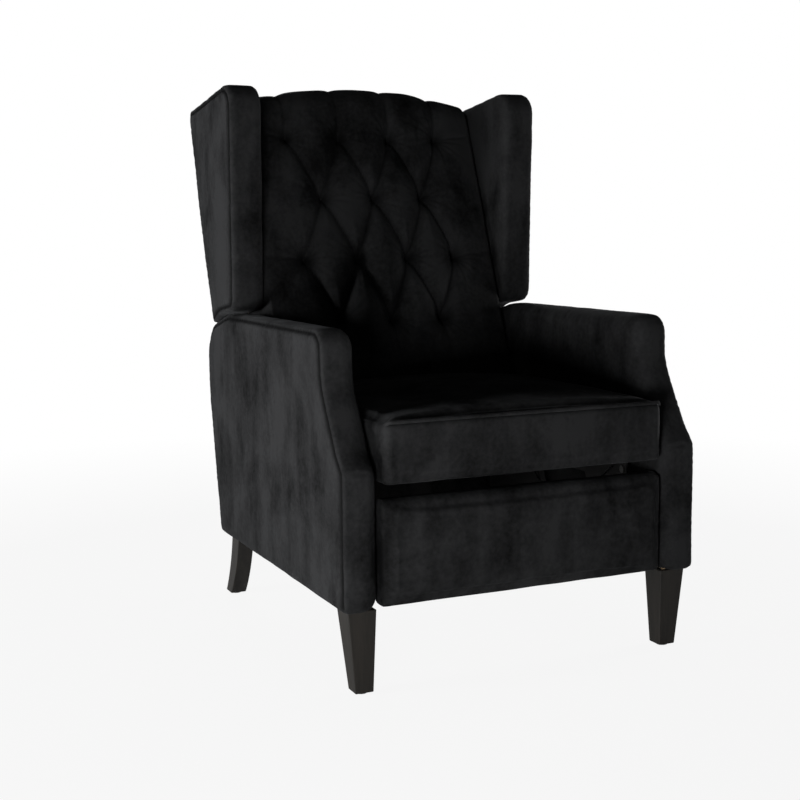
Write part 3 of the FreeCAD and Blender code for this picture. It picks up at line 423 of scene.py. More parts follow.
def metal(name, base, metallic, rough, orange_peel, scratch):
    """Coated or plated steel with handling marks."""
    shader = Shader(name)
    place = shader.coordinates()
    marks = shader.noise(shader.coordinates(stretch=(1.0, 0.15, 1.0)), 0.0015, 3.0, 0.6)
    cloud = shader.noise(place, 0.02, 4.0, 0.6)
    peel = shader.noise(place, 0.0008, 1.0, 0.5)
    dust = shader.ramp(cloud, (0.45, 0.0), (0.75, 1.0))
    pale = tuple(min(1.0, 1.35 * c + 0.01) for c in rgb(base))
    values = {
        "Base_Color": shader.mix(dust * 0.6, rgb(base), pale),
        "Metallic": metallic,
        "Roughness": rough + scratch * marks + 0.08 * cloud,
        "Normal": shader.bump(peel * orange_peel + marks * (1.0 - orange_peel), 0.00015, 0.4),
    }
    return shader.finish(shader.principled(**values))


def mechanism_steel(scene):
    return metal("mechanism_steel", scene.recliner_steel.coat, 0.0, 0.36, 0.8, 0.10)


def fastener_steel(scene):
    return metal("fastener_steel", scene.recliner_steel.zinc, 1.0, 0.28, 0.2, 0.18)


def spring_steel(scene):
    return metal("spring_steel", scene.recliner_steel.wire, 0.9, 0.34, 0.1, 0.20)


def glide_plastic(scene):
    """Moulded nylon with a fine mould texture and scuffs."""
    shader = Shader("glide_plastic")
    place = shader.coordinates()
    grain = shader.noise(place, 0.0007, 2.0, 0.5)
    scuff = shader.ramp(shader.noise(place, 0.006, 4.0, 0.65), (0.5, 0.0), (0.7, 1.0))
    base = rgb(scene.recliner_steel.nylon)
    values = {
        "Base_Color": shader.mix(scuff * 0.5, base, tuple(3.0 * c for c in base)),
        "Roughness": 0.48 + 0.2 * scuff,
        "Normal": shader.bump(grain, 0.0001, 0.5),
    }
    return shader.finish(shader.principled(**values))


def weave(name, base, pitch):
    """A plain weave of crossing threads."""
    shader = Shader(name)
    place = shader.coordinates()
    bands = {"Vector": place, "Scale": 0.3 / pitch}
    across, along = [shader.node("TexWave", {"bands_direction": way}, bands)["Fac"] for way in "XY"]
    fuzz = shader.noise(place, pitch * 3, 4.0, 0.6)
    threads = across * along
    values = {
        "Base_Color": shader.mix(threads * 0.6 + fuzz * 0.4, tuple(0.45 * c for c in rgb(base)), rgb(base)),
        "Roughness": 0.78 + 0.15 * fuzz,
        "Normal": shader.bump(threads + fuzz * 0.5, 0.0002, 0.7),
        "Sheen_Weight": 0.08,
    }
    return shader.finish(shader.principled(**values))


def webbing(scene):
    return weave("webbing", scene.recliner_steel.webbing, 0.0016)


def dust_cloth(scene):
    return weave("dust_cloth", scene.recliner_steel.cloth, 0.0009)


MAKERS = (
    velvet, leg_wood, frame_wood, mechanism_steel, fastener_steel,
    spring_steel, glide_plastic, webbing, dust_cloth,
)
MATERIALS = {"piping": velvet, **{make.__name__: make for make in MAKERS}}


def material(slot):
    """The finish of a material slot, made the first time that it is asked for."""
    make = MATERIALS[slot]
    return bpy.data.materials.get(make.__name__ + FINISH) or make(bpy.context.scene)


# Meshes


def new_mesh(name, vertices, faces=(), edges=()):
    mesh = bpy.data.meshes.new(name)
    mesh.from_pydata(vertices, edges, faces)
    return mesh


def strips(rows, count, first=0, closed=True):
    """Four-sided faces between rows of points. Each row is a ring, or ends open."""
    faces = []
    for row in range(rows - 1):
        for i in range(count if closed else count - 1):
            a = first + row * count + i
            b = first + row * count + (i + 1) % count
            faces.append((a, a + count, b + count, b))
    return faces


def new_object(name, mesh):
    mesh.name = name
    piece = bpy.data.objects.new(name, mesh)
    bpy.context.scene.collection.objects.link(piece)
    return piece


def merged(*names):
    """A copy of some solids of the construction, their points merged, to work on."""
    shape = bmesh.new()
    for name in names:
        shape.from_mesh(frame["nodes"][name].data)
    bmesh.ops.remove_doubles(shape, verts=shape.verts, dist=MERGE)
    return shape


def into_mesh(shape, mesh):
    """Ends the work on a copy, and puts it into a mesh."""
    shape.to_mesh(mesh)
    shape.free()
    return mesh


def settle(piece):
    """Turns what a piece's modifiers make into its own mesh, and removes them."""
    bpy.context.view_layer.update()
    graph = bpy.context.evaluated_depsgraph_get()
    mesh = bpy.data.meshes.new_from_object(piece.evaluated_get(graph))
    old = piece.data
    piece.modifiers.clear()
    piece.data = mesh
    mesh.name = piece.name
    bpy.data.meshes.remove(old)


def modify(piece, kind, **settings):
    modifier = piece.modifiers.new(kind.lower(), kind)
    for key, value in settings.items():
        setattr(modifier, key, value)
    return modifier


def points_of(piece):
    """The places and normals of a piece's points, as two arrays."""
    mesh = piece.data
    places = np.empty(len(mesh.vertices) * 3, np.float32)
    mesh.vertices.foreach_get("co", places)
    normals = np.empty(len(mesh.vertices) * 3, np.float32)
    mesh.vertex_normals.foreach_get("vector", normals)
    return places.reshape(-1, 3).astype(float), normals.reshape(-1, 3).astype(float)


def place_points(piece, places):
    piece.data.vertices.foreach_set("co", places.astype(np.float32).ravel())
    piece.data.update()


def mark_creases(piece, creases):
    """Keeps how deep in a seam, pleat or tuft each point lies, as painted shade by which the velvet darkens
    its colour.
    """
    attribute = piece.data.attributes.get("crease") or piece.data.attributes.new("crease", "FLOAT", "POINT")
    attribute.data.foreach_set("value", np.clip(creases, 0.0, 1.0).astype(np.float32))


def ripple(places, width, shift=0.0):
    """Smooth random heights about nought, whose swells are about a width across."""
    scaled = places / width + shift
    return np.array([noise.noise(Vector(p)) for p in scaled])


def smoothstep(value, start, end):
    t = np.clip((value - start) / (end - start), 0.0, 1.0)
    return t * t * (3.0 - 2.0 * t)


def distance_to(places, segments):
    """The distance from each point to the nearest of some line segments."""
    nearest = np.full(len(places), FAR)
    for start, end in segments:
        start = np.array(start)
        run = np.array(end) - start
        along = np.clip((places - start) @ run / max(run @ run, 1e-12), 0.0, 1.0)
        nearest = np.minimum(nearest, np.linalg.norm(places - start - along[:, None] * run, axis=1))
    return nearest


def outer_skin(*names):
    """One skin round some solids: their faces from which nothing of them is seen straight ahead."""
    skin = merged(*names)
    skin.normal_update()
    tree = BVHTree.FromBMesh(skin)
    hidden = []
    for face in skin.faces:
        start = face.calc_center_median() + face.normal * (MILLIMETRE / 2)
        if tree.ray_cast(start, face.normal)[0] is not None:
            hidden.append(face)
    bmesh.ops.delete(skin, geom=hidden, context="FACES")
    return into_mesh(skin, bpy.data.meshes.new("skin"))


def flat_rim(name, side):
    """The border of a solid's flat face that lies furthest out on one side, as line segments."""
    solid = merged(name)
    level = max(side * v.co.x for v in solid.verts)
    flat = {f for f in solid.faces if all(side * v.co.x > level - 10 * MERGE for v in f.verts)}
    rim = [e for e in solid.edges if sum(f in flat for f in e.link_faces) == 1]
    segments = [(tuple(e.verts[0].co), tuple(e.verts[1].co)) for e in rim]
    solid.free()
    return segments


def swell(piece, settings):
    """Lets the filling blow the cover up in a cloth simulation, each point within its reach."""
    scene = bpy.context.scene
    places, normals = points_of(piece)
    start = places - normals * settings.sink
    place_points(piece, start)
    cloth = modify(piece, "CLOTH")
    cloth.settings.quality = 4
    cloth.settings.use_pressure = True
    cloth.settings.uniform_pressure_force = settings.pressure
    cloth.settings.effector_weights.gravity = 0.0
    cloth.settings.bending_stiffness = 2.0
    cloth.collision_settings.use_collision = False
    cloth.point_cache.frame_start = 1
    cloth.point_cache.frame_end = settings.frames
    for step in range(1, settings.frames + 1):
        scene.frame_set(step)
    settle(piece)
    scene.frame_set(1)
    moved = points_of(piece)[0] - places
    out = np.sum(moved * normals, axis=1)
    along = moved - normals * out[:, None]
    length = np.linalg.norm(along, axis=1)
    kept = np.minimum(1.0, settings.slip / np.maximum(length, 1e-9))
    out = np.clip(out, -MILLIMETRE, settings.reach)
    place_points(piece, places + normals * out[:, None] + along * kept[:, None])


def upholstered(name, nodes, settings, simulate, voxel=None):
    """A padded cover round some solids, evenly meshed, and swollen where it is a cushion."""
    piece = new_object(name, outer_skin(*nodes))
    modify(piece, "REMESH", mode="VOXEL", voxel_size=voxel or settings.voxel, use_smooth_shade=True)
    settle(piece)
    modify(piece, "SMOOTH", factor=0.5, iterations=2)
    settle(piece)
    places, normals = points_of(piece)
    place_points(piece, places + normals * settings.cloth)
    if simulate:
        swell(piece, settings)
    modify(piece, "SUBSURF", levels=1, render_levels=1)
    settle(piece)
    return piece


def seamed(piece, segments, settings, shift, depth=1.0):
    """Sinks the seams of a cover, puckers the cloth beside them, makes the rest a little uneven and paints
    shade into the seams.
    """
    pucker_reach, pucker_width, wave_width, shade = 0.012, 0.007, 0.060, 0.9
    places, normals = points_of(piece)
    near = distance_to(places, segments)
    groove = np.exp(-((near / settings.seam_width) ** 2))
    pucker = np.exp(-near / pucker_reach) * ripple(places, pucker_width, shift) * settings.pucker
    uneven = ripple(places, wave_width, shift) * settings.wave
    height = uneven + pucker - groove * settings.seam_depth * depth
    place_points(piece, places + normals * height[:, None])
    # Painted shade in the seams, at the shade's strength, for the velvet to darken its colour by.
    mark_creases(piece, groove * shade)


def fold(piece, path, depth, width):
    """Presses a crease along a path into a cover, with a soft lip beside it."""
    lip_share, lip_away = 0.35, 2.2
    places, normals = points_of(piece)
    near = distance_to(places, list(zip(path, path[1:]))) / width
    height = depth * (lip_share * np.exp(-((near - lip_away) ** 2)) - np.exp(-(near**2)))
    place_points(piece, places + normals * height[:, None])


def complete(piece, body, slot, nodes=()):
    """Gives a finished piece its velvet or other finish, hangs it on the body that it rides on and hides the
    solids of the construction that it stands for.
    """
    piece.data.materials.clear()
    piece.data.materials.append(material(slot))
    piece.data.polygons.foreach_set("use_smooth", np.ones(len(piece.data.polygons), bool))
    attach(piece, body)
    if nodes:
        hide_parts(*nodes)
    return piece


# Back cushion


def rear_slope():
    """How far the rear of the back leans for each length of height."""
    return (panel_high.y - panel_low.y - PANEL_THICKNESS) / (panel_high.z - panel_low.z)


def rear_line(z):
    """How far back the rear of the back lies at a height."""
    return panel_low.y + PANEL_THICKNESS + (z - panel_low.z) * rear_slope()


def arc_drop(x, half, rise):
    """How far an arc over a width has fallen at a distance from its middle."""
    radius = (half**2 + rise**2) / (2 * rise)
    return radius - np.sqrt(radius**2 - x**2)


def back_outline(x, settings):
    """Side view of the back cushion at one distance from its middle: (y, z, radius, steps of its arc)."""
    sunk = settings.crown - arc_drop(x, cushion_high.x, settings.crown)
    low = panel_low.z
    top = cushion_high.z + settings.crest_puff - arc_drop(x, cushion_high.x, settings.crest_drop)
    frame_top = panel_high.z

    def front(z):
        lean = (z - SEAT_TOP) * (rear_slope() + settings.taper)
        return rear_line(SEAT_TOP) - settings.thickness - sunk + lean

    return [
        (rear_line(low) - FRAME_DEPTH, low, 0.0, 1),
        (front(low), low, settings.low_radius, LOW_STEPS),
        (front(top), top, settings.crest_radius, 30),
        (rear_line(top) - settings.crest_radius, top, settings.crest_radius, 18),
        (rear_line(frame_top), frame_top, 2 * MILLIMETRE, 2),
        (rear_line(frame_top) - FRAME_DEPTH, frame_top, 0.0, 1),
    ]


def rounded_corner(here, before, after, radius, steps):
    """The points of an arc that rounds a corner, or the corner itself where it has no radius."""
    if radius <= 0.0:
        return [here]
    into = (before - here) / np.linalg.norm(before - here)
    out = (after - here) / np.linalg.norm(after - here)
    half = math.acos(np.clip(into @ out, -1.0, 1.0)) / 2
    reach = radius / math.tan(half)
    bisector = (into + out) / np.linalg.norm(into + out)
    centre = here + bisector * radius / math.sin(half)
    first = here + into * reach - centre
    last = here + out * reach - centre
    turn = math.pi - 2 * half
    arc = []
    for t in np.linspace(0.0, 1.0, steps + 1):
        point = (math.sin((1 - t) * turn) * first + math.sin(t * turn) * last) / math.sin(turn)
        arc.append(centre + point)
    return arc


def rounded_outline(corners, lines):
    """Points of a closed outline with rounded corners and some steps along each line between them."""
    count = len(corners)
    places = [np.array(corner[:2]) for corner in corners]
    arcs = []
    for i, (y, z, radius, steps) in enumerate(corners):
        arcs.append(rounded_corner(places[i], places[i - 1], places[(i + 1) % count], radius, steps))
    points = []
    for i in range(count):
        points.extend(arcs[i])
        start = arcs[i][-1]
        end = arcs[(i + 1) % count][0]
        for step in range(1, lines[i]):
            points.append(start + (end - start) * step / lines[i])
    return np.array(points)


def tuft_places(settings):
    """The tufts of the back, row by row from the lowest: (x, height)."""
    rows = []
    for row, count in enumerate(TUFT_COUNTS):
        z = SEAT_TOP + settings.first_rise + row * settings.rise
        rows.append([((i - (count - 1) / 2) * settings.pitch, z) for i in range(count)])
    return rows


def pleats(settings):
    """The pleats of the back: (start, end, strength at the start, strength at the end), in x and height."""
    over_crest, down, side_rise = 0.135, 0.085, 0.006
    rows = tuft_places(settings)
    lines = []
    for lower, upper in zip(rows, rows[1:]):
        for x, z in lower:
            for other, other_z in upper:
                if abs(abs(x - other) - settings.pitch / 2) < MILLIMETRE:
                    lines.append(((x, z), (other, other_z), 1.0, 1.0))
    for x, z in rows[-1]:
        lines.append(((x, z), (x, z + over_crest), 1.0, 0.35))
    for x, z in rows[0]:
        lines.append(((x, z), (x * 1.03, z - down), 0.95, 0.0))
    for row in (rows[1], rows[3]):
        for x, z in (row[0], row[-1]):
            lines.append(((x, z), (math.copysign(cushion_high.x, x), z + side_rise), 0.6, 0.25))
    return lines


def tufting(x, up, settings):
    """How far the tufted face stands out at points of x and height, and how much painted shade each point
    gets from how deep it lies in a pleat or tuft pit.
    """
    pleat_shape, pit_shape, gathers_from, gathers_reach = 0.85, 1.3, (0.003, 0.012), 0.024
    few, many = 17, 26
    flat = np.stack((x, up), axis=1)
    valley = np.zeros(len(x))
    for start, end, first, last in pleats(settings):
        start = np.array(start)
        run = np.array(end) - start
        along = np.clip((flat - start) @ run / (run @ run), 0.0, 1.0)
        away = np.linalg.norm(flat - start - along[:, None] * run, axis=1)
        strength = first + (last - first) * along
        valley = np.maximum(valley, strength * np.exp(-((away / settings.pleat_width) ** pleat_shape)))
    pit = np.zeros(len(x))
    gathers = np.zeros(len(x))
    for row in tuft_places(settings):
        for centre_x, centre_z in row:
            away = np.hypot(x - centre_x, up - centre_z)
            turn = np.arctan2(up - centre_z, x - centre_x)
            pit = np.maximum(pit, np.exp(-((away / settings.tuft_width) ** pit_shape)))
            rays = np.sin(few * turn + 90 * centre_x) + 0.6 * np.sin(many * turn + 50 * centre_z)
            fade = smoothstep(away, *gathers_from) * np.exp(-away / gathers_reach)
            gathers += settings.gathers * rays * fade
    height = settings.pillow * (1.0 - valley) - settings.pleat_sink - settings.tuft_depth * pit + gathers
    return height, np.maximum(0.5 * valley**4, 0.9 * pit**1.5)


def back_stations(settings):
    """The distances from the middle at which the back cushion has rings, closer together at its sides."""
    first_turn, side_rings = 0.15, 8
    half, roll = cushion_high.x, settings.side_roll
    middle = np.linspace(roll - half, half - roll, int(2 * (half - roll) / settings.step))
    edge = half - roll + roll * np.sin(np.linspace(first_turn, 1.0, side_rings) * math.pi / 2)
    return np.concatenate((-edge[::-1], middle, edge))


def cloth_heights(ring):
    """The heights of a ring's points, which go on over the crest as the length of the cloth."""
    run = np.concatenate(((0.0,), np.cumsum(np.linalg.norm(np.diff(ring, axis=0), axis=1))))
    heights = ring[:, 1].copy()
    heights[CREST_START:] = ring[CREST_START, 1] + run[CREST_START:] - run[CREST_START]
    return heights


def ring_mesh(stations, rings):
    """A closed form through rings of points, with flat ends."""
    count = len(rings[0])
    vertices = [(x, y, z) for x, ring in zip(stations, rings) for y, z in ring]
    faces = [(a, d, c, b) for a, b, c, d in strips(len(stations), count)]
    faces.append(tuple(reversed(range(count))))
    faces.append(tuple(range(len(vertices) - count, len(vertices))))
    mesh = new_mesh("back_cushion", vertices, faces)
    shape = bmesh.new()
    shape.from_mesh(mesh)
    bmesh.ops.recalc_face_normals(shape, faces=shape.faces)
    bmesh.ops.triangulate(shape, faces=[f for f in shape.faces if len(f.verts) > 4])
    return into_mesh(shape, mesh)


def face_share(places, up):
    """How much of the tufting each point of the back gets: none underneath, behind and past the crest."""
    share_up = smoothstep(up, *FACE_BEGINS) * (1.0 - smoothstep(up, *FACE_ENDS))
    in_front = places[:, 1] < rear_line(places[:, 2]) - FRAME_DEPTH - 3 * MILLIMETRE
    above = places[:, 2] > panel_high.z + 4 * MILLIMETRE
    return share_up * (in_front | above)


def make_back_cushion(scene):
    """The tufted back cushion: a smooth rolled form whose face is pulled in at tufts and pleats."""
    uneven_width, uneven_height, crest_from, crest_lean = 0.045, 0.0014, 0.98, 0.6
    settings = scene.recliner_back
    half, roll = cushion_high.x, settings.side_roll
    stations = back_stations(settings)
    rings = [rounded_outline(back_outline(x, settings), RING_LINES) for x in stations]
    piece = new_object("tufted_back", ring_mesh(stations, rings))
    places, normals = points_of(piece)
    x = np.repeat(stations, len(rings[0]))
    up = np.concatenate([cloth_heights(ring) for ring in rings])
    height, creases = tufting(x, up, settings)
    facing = face_share(places, up)
    inset = np.clip((np.abs(x) - (half - roll)) / roll, 0.0, 1.0)
    height = height * (1.0 - inset) + ripple(places, uneven_width, 3.0) * uneven_height
    height = height * facing - roll * (1.0 - np.sqrt(1.0 - inset**2)) * facing
    outward = np.where((inset > 0)[:, None], np.array((0.0, -1.0, 0.0)), normals)
    outward[:, 2] = np.where((inset > 0) & (up > crest_from), crest_lean, outward[:, 2])
    outward /= np.linalg.norm(outward, axis=1)[:, None]
    places = places + outward * height[:, None]
    places[:, 0] *= 1.0 - (1.0 - LOW_HALF_WIDTH / half) * (1.0 - smoothstep(places[:, 2], *LOW_HEIGHTS))
    place_points(piece, places)
    # Painted shade in the pleats and tuft pits, kept for the velvet to darken its colour by.
    mark_creases(piece, creases * facing)
    return complete(piece, "back", "velvet", ["back_cushion"])


# Seat, footrest, arms, wings and panels


def hold_within(piece, low, high, spare_low, spare_high):
    """Holds a piece's points inside a box that is a few millimetres larger than another, and returns them."""
    places = points_of(piece)[0]
    least = np.array(low) - MILLIMETRE * np.array(spare_low)
    most = np.array(high) + MILLIMETRE * np.array(spare_high)
    return np.clip(places, least, most)


def make_seat(scene):
    """The boxed seat cushion, swollen by its filling, with a recess underneath for cloth and steel."""
    settings = scene.recliner_padding
    rails = ["seat_side_rail_right", "seat_side_rail_left", "seat_cross_rails", "seat_dust_cover"]
    piece = upholstered("seat_pad", ["seat_cushion", "seat_piping"] + rails, settings, True)
    places = hold_within(piece, seat_low, seat_high, (1, 3, 0), (1, 1, 8))
    x, y, z = places.T
    inside = (np.abs(x) < dust_high.x) & (y > dust_low.y) & (y < dust_high.y)
    under = inside & (z < dust_high.z + 4 * MILLIMETRE)
    places[under, 2] = dust_high.z + 0.4 * MILLIMETRE
    place_points(piece, places)
    front, left, right = seat_low.y, seat_low.x, seat_high.x
    level = (piping_low.z + piping_high.z) / 2
    seamed(piece, [((left, front, level), (right, front, level))], settings, 5.0, depth=2.0)
    low = seat_low.z + 13 * MILLIMETRE
    line = [(left, front, low), (0.0, front - 2 * MILLIMETRE, low - MILLIMETRE), (right, front, low)]
    fold(piece, line, 2 * MILLIMETRE, 4 * MILLIMETRE)
    return complete(piece, "seat", "velvet", ["seat_cushion"])


def make_footrest(scene):
    """The padded footrest panel, its cloth wrapped round the board and left open behind it."""
    settings = scene.recliner_padding
    piece = upholstered("footrest_panel", ["footrest_pad", "footrest_board"], settings, True)
    places = hold_within(piece, footrest_low, footrest_high, (1, 4, 1), (1, 0, 2))
    x, y, z = places.T
    inside = (np.abs(x) < board_high.x) & (z > board_low.z) & (z < board_high.z)
    behind = inside & (y > footrest_high.y - 5 * MILLIMETRE)
    places[behind, 1] = footrest_high.y - 2 * MILLIMETRE
    place_points(piece, places)
    seamed(piece, [], settings, 9.0)
    return complete(piece, "footrest", "velvet", ["footrest_pad"])


def make_arms(scene):
    """The two arms: padded, with a seam round the outer face and a small crease in the front band."""
    settings = scene.recliner_padding
    seam_low = arm_low.z + 0.015
    crease_from, crease_to = (0.004, 0.371), (0.042, 0.373)
    for side, sign in SIDES.items():
        node = f"arm_cover_{side}"
        piece = upholstered(f"arm_{side}", [node, f"arm_frame_{side}"], settings, False)
        outer = [s for s in flat_rim(node, sign) if max(s[0][2], s[1][2]) > seam_low]
        seamed(piece, outer, settings, 11.0 * sign)
        crease = [(sign * (arm_low.x + across), arm_low.y, z) for across, z in (crease_from, crease_to)]
        fold(piece, crease, 1.6 * MILLIMETRE, 3 * MILLIMETRE)
        complete(piece, "base", "velvet", [node])


def make_wings(scene):
    """The two wings: padded, with a deep seam between the outer face and the front band."""
    settings = scene.recliner_padding
    for side, sign in SIDES.items():
        node = f"wing_cover_{side}"
        piece = upholstered(f"wing_{side}", [node, f"wing_frame_{side}"], settings, False)
        seamed(piece, flat_rim(node, sign), settings, 21.0 * sign, depth=1.2)
        complete(piece, "back", "velvet", [node])


def make_panels(scene):
    """The padded panel on the back's rear, and the one between the arms below it."""
    settings = scene.recliner_padding
    rear = upholstered("rear_panel", ["rear_panel_cover", "rear_panel_rail"], settings, False)
    seamed(rear, [], settings, 31.0)
    complete(rear, "base", "velvet", ["rear_panel_cover"])
    back = upholstered("outside_back", ["back_panel"], settings, False, voxel=0.005)
    seamed(back, [], settings, 41.0)
    complete(back, "back", "velvet", ["back_panel"])


# Legs


def make_leg(name, node, edge):
    """One leg: the construction's own, its flat faces made whole and its edges eased."""
    shape = merged(node)
    bmesh.ops.dissolve_limit(shape, angle_limit=math.radians(1), verts=shape.verts, edges=shape.edges)
    inner = [e for e in shape.edges if len(e.link_faces) == 2]
    sharp = [e for e in inner if e.calc_face_angle() > math.radians(40)]
    bmesh.ops.bevel(shape, geom=sharp, offset=edge, segments=3, profile=0.5, affect="EDGES")
    bmesh.ops.recalc_face_normals(shape, faces=shape.faces)
    piece = new_object(name, into_mesh(shape, bpy.data.meshes.new(node)))
    modify(piece, "WEIGHTED_NORMAL", keep_sharp=True)
    complete(piece, "base", "leg_wood", [node])


def make_legs(scene):
    """The four legs, their edges eased."""
    for place in ("front", "rear"):
        for side in SIDES:
            make_leg(f"{place}_leg_stained_{side}", f"{place}_leg_{side}", scene.recliner_wood.edge)


# Finishes of the construction that stays in sight


def paint_construction():
    """Gives every solid of the construction the finish of its material slot."""
    for part in frame["record"]["subparts"]:
        node = frame["nodes"][part["node"]]
        node.data.materials.clear()
        node.data.materials.append(material(part["material_slot"]))


# Node trees for what repeats or follows a path


class Tree:
    """A geometry node tree with named inputs."""

    def __init__(self, name):
        self.tree = bpy.data.node_groups.new(name, "GeometryNodeTree")
        for way in ("OUTPUT", "INPUT"):
            self.tree.interface.new_socket("Geometry", in_out=way, socket_type="NodeSocketGeometry")
        self.inputs = self.tree.nodes.new("NodeGroupInput")
        self.identifiers = {}

    def input(self, name, kind):
        """Adds a named input and returns its socket."""
        item = self.tree.interface.new_socket(name, in_out="INPUT", socket_type="NodeSocket" + kind)
        self.identifiers[name] = item.identifier
        return self.inputs.outputs[name]

    def node(self, kind, settings=None, sockets=None):
        """Adds a node: first its settings, then the values or links of its sockets. Returns its outputs."""
        node = self.tree.nodes.new(kind)
        for key, value in (settings or {}).items():
            setattr(node, key, value)
        for key, value in (sockets or {}).items():
            if isinstance(value, bpy.types.NodeSocket):
                self.tree.links.new(value, node.inputs[key])
            else:
                node.inputs[key].default_value = value
        return node.outputs

    def change(self, name):
        """What a geometry node makes of the geometry that the piece itself brings."""
        return self.node("GeometryNode" + name, None, {0: self.inputs.outputs["Geometry"]})[0]

    def tube(self, path, sides, radius):
        """A tube with closed ends along a curve."""
        ring = self.node("GeometryNodeCurvePrimitiveCircle", None, {"Resolution": sides, "Radius": radius})[0]
        return self.node("GeometryNodeCurveToMesh", None, {0: path, 1: ring, "Fill Caps": True})[0]

    def copies(self, shape, points, axis, direction, turns, seed):
        """A shape on each point, one axis along a direction, then turned at random about its own Z."""
        align = self.node("FunctionNodeAlignRotationToVector", {"axis": axis}, {"Vector": direction})[0]
        values = {2: turns[0], 3: turns[1], "Seed": seed}
        random = self.node("FunctionNodeRandomValue", {"data_type": "FLOAT"}, values)[1]
        values = {"Axis": (0.0, 0.0, 1.0), "Angle": random}
        turn = self.node("FunctionNodeAxisAngleToRotation", None, values)[0]
        both = self.node("FunctionNodeRotateRotation", {"rotation_space": "LOCAL"}, {0: align, 1: turn})[0]
        values = {0: points, "Instance": shape, "Rotation": both}
        return self.node("GeometryNodeInstanceOnPoints", None, values)[0]

    def end(self, geometry, slot):
        """Closes the tree: real geometry, with a material."""
        real = self.node("GeometryNodeRealizeInstances", None, {0: geometry})[0]
        smooth = self.node("GeometryNodeSetShadeSmooth", None, {0: real})[0]
        painted = self.node("GeometryNodeSetMaterial", None, {0: smooth, "Material": material(slot)})[0]
        self.node("NodeGroupOutput", None, {0: painted})
        return self

    def apply_to(self, piece, **values):
        """Runs the tree on a piece and keeps the result as a plain mesh."""
        modifier = modify(piece, "NODES", node_group=self.tree)
        for name, value in values.items():
            modifier[self.identifiers[name]] = value
        settle(piece)


def path_mesh(points, closed=False):
    """A chain of points joined by edges."""
    edges = [(i, i + 1) for i in range(len(points) - 1)]
    if closed:
        edges.append((len(points) - 1, 0))
    return new_mesh("path", points, edges=edges)


def tube_tree(slot):
    """A round tube along a path."""
    tree = Tree("piped_seam")
    radius = tree.input("Radius", "Float")
    return tree.end(tree.tube(tree.change("MeshToCurve"), 12, radius), slot)


def make_piping(scene):
    """The piped seam along the seat's front edge, wavering a little as it is sewn, its ends tucked in."""
    steps, end_share, tuck, drop, waver = 120, 0.025, 0.006, 0.004, 0.0004
    middle = (piping_low + piping_high) / 2
    reach = piping_high.x
    points = []
    for i in range(steps + 1):
        x = -reach + 2 * reach * i / steps
        end = max(0.0, abs(x) / reach - (1.0 - end_share)) / end_share
        rise = waver * noise.noise(Vector((x * 40, 2.0, 0.0)))
        points.append((x, piping_low.y - MILLIMETRE + tuck * end**2, middle.z + rise - drop * end**2))
    piece = new_object("seat_welt", path_mesh(points))
    tube_tree("piping").apply_to(piece, Radius=scene.recliner_padding.welt)
    complete(piece, "seat", "piping", ["seat_piping"])


def staple_tree():
    """Staples along a path, each turned a little at random."""
    turn = 0.25
    tree = Tree("staples")
    gap, length, wire = [tree.input(name, "Float") for name in ("Gap", "Length", "Wire")]
    seed = tree.input("Seed", "Int")
    path = tree.change("MeshToCurve")
    points = tree.node("GeometryNodeCurveToPoints", {"mode": "LENGTH"}, {0: path, "Length": gap})
    values = {"Direction": (1.0, 0.0, 0.0), "Length": length}
    line = tree.node("GeometryNodeCurvePrimitiveLine", {"mode": "DIRECTION"}, values)[0]
    half = tree.node("ShaderNodeMath", {"operation": "MULTIPLY"}, {0: length, 1: -0.5})[0]
    shift = tree.node("ShaderNodeCombineXYZ", None, {0: half})[0]
    centred = tree.node("GeometryNodeSetPosition", None, {0: line, "Offset": shift})[0]
    staple = tree.tube(centred, 6, wire)
    placed = tree.copies(staple, points[0], "X", points["Tangent"], (-turn, turn), seed)
    return tree.end(placed, "fastener_steel")


def make_staples(scene):
    """Staples that hold the cloth under the seat, and the velvet on the rear of the footrest board."""
    settings = scene.recliner_fixings
    inset, seat_bite, board_bite = 0.007, 0.4, 0.2
    left, right = dust_low.x + inset, dust_high.x - inset
    front, rear = dust_low.y + inset, dust_high.y - inset
    level = dust_low.z - settings.staple_wire * seat_bite
    under = [(left, front, level), (right, front, level), (right, rear, level), (left, rear, level)]
    low, high = footrest_low.z + inset, footrest_high.z - inset
    behind = footrest_high.y + settings.staple_wire * board_bite
    near, far = footrest_low.x + inset, footrest_high.x - inset
    board = [(near, behind, low), (far, behind, low), (far, behind, high), (near, behind, high)]
    tree = staple_tree()
    sizes = {"Gap": settings.staple_gap, "Length": settings.staple_length, "Wire": settings.staple_wire}
    rows = {"dust_cloth_staples": (under, "seat"), "footrest_staples": (board, "footrest")}
    for name, (corners, body) in rows.items():
        piece = new_object(name, path_mesh(corners, closed=True))
        tree.apply_to(piece, Seed=settings.seed, **sizes)
        complete(piece, body, "fastener_steel")


def make_dust_cloth():
    """The thin cloth under the seat, stapled at its border and sagging a little between."""
    steps, free_half, sag, waver, gap = 60, 0.215, 0.004, 0.0006, 0.0006
    half = dust_high.x
    length = dust_high.y - dust_low.y
    vertices = []
    for j in range(steps + 1):
        for i in range(steps + 1):
            u, v = i / steps, j / steps
            x = (2 * u - 1) * half
            drop = 0.0
            if abs(x) < free_half:
                drop = sag * (math.sin(math.pi * u) * math.sin(math.pi * v)) ** 0.8
                drop += waver * noise.noise(Vector((u * 9, v * 9, 4.0))) + gap
            vertices.append((x, dust_low.y + v * length, dust_low.z - drop))
    faces = strips(steps + 1, steps + 1, closed=False)
    piece = new_object("seat_dust_cloth", new_mesh("seat_dust_cloth", vertices, faces))
    complete(piece, "seat", "dust_cloth", ["seat_dust_cover"])


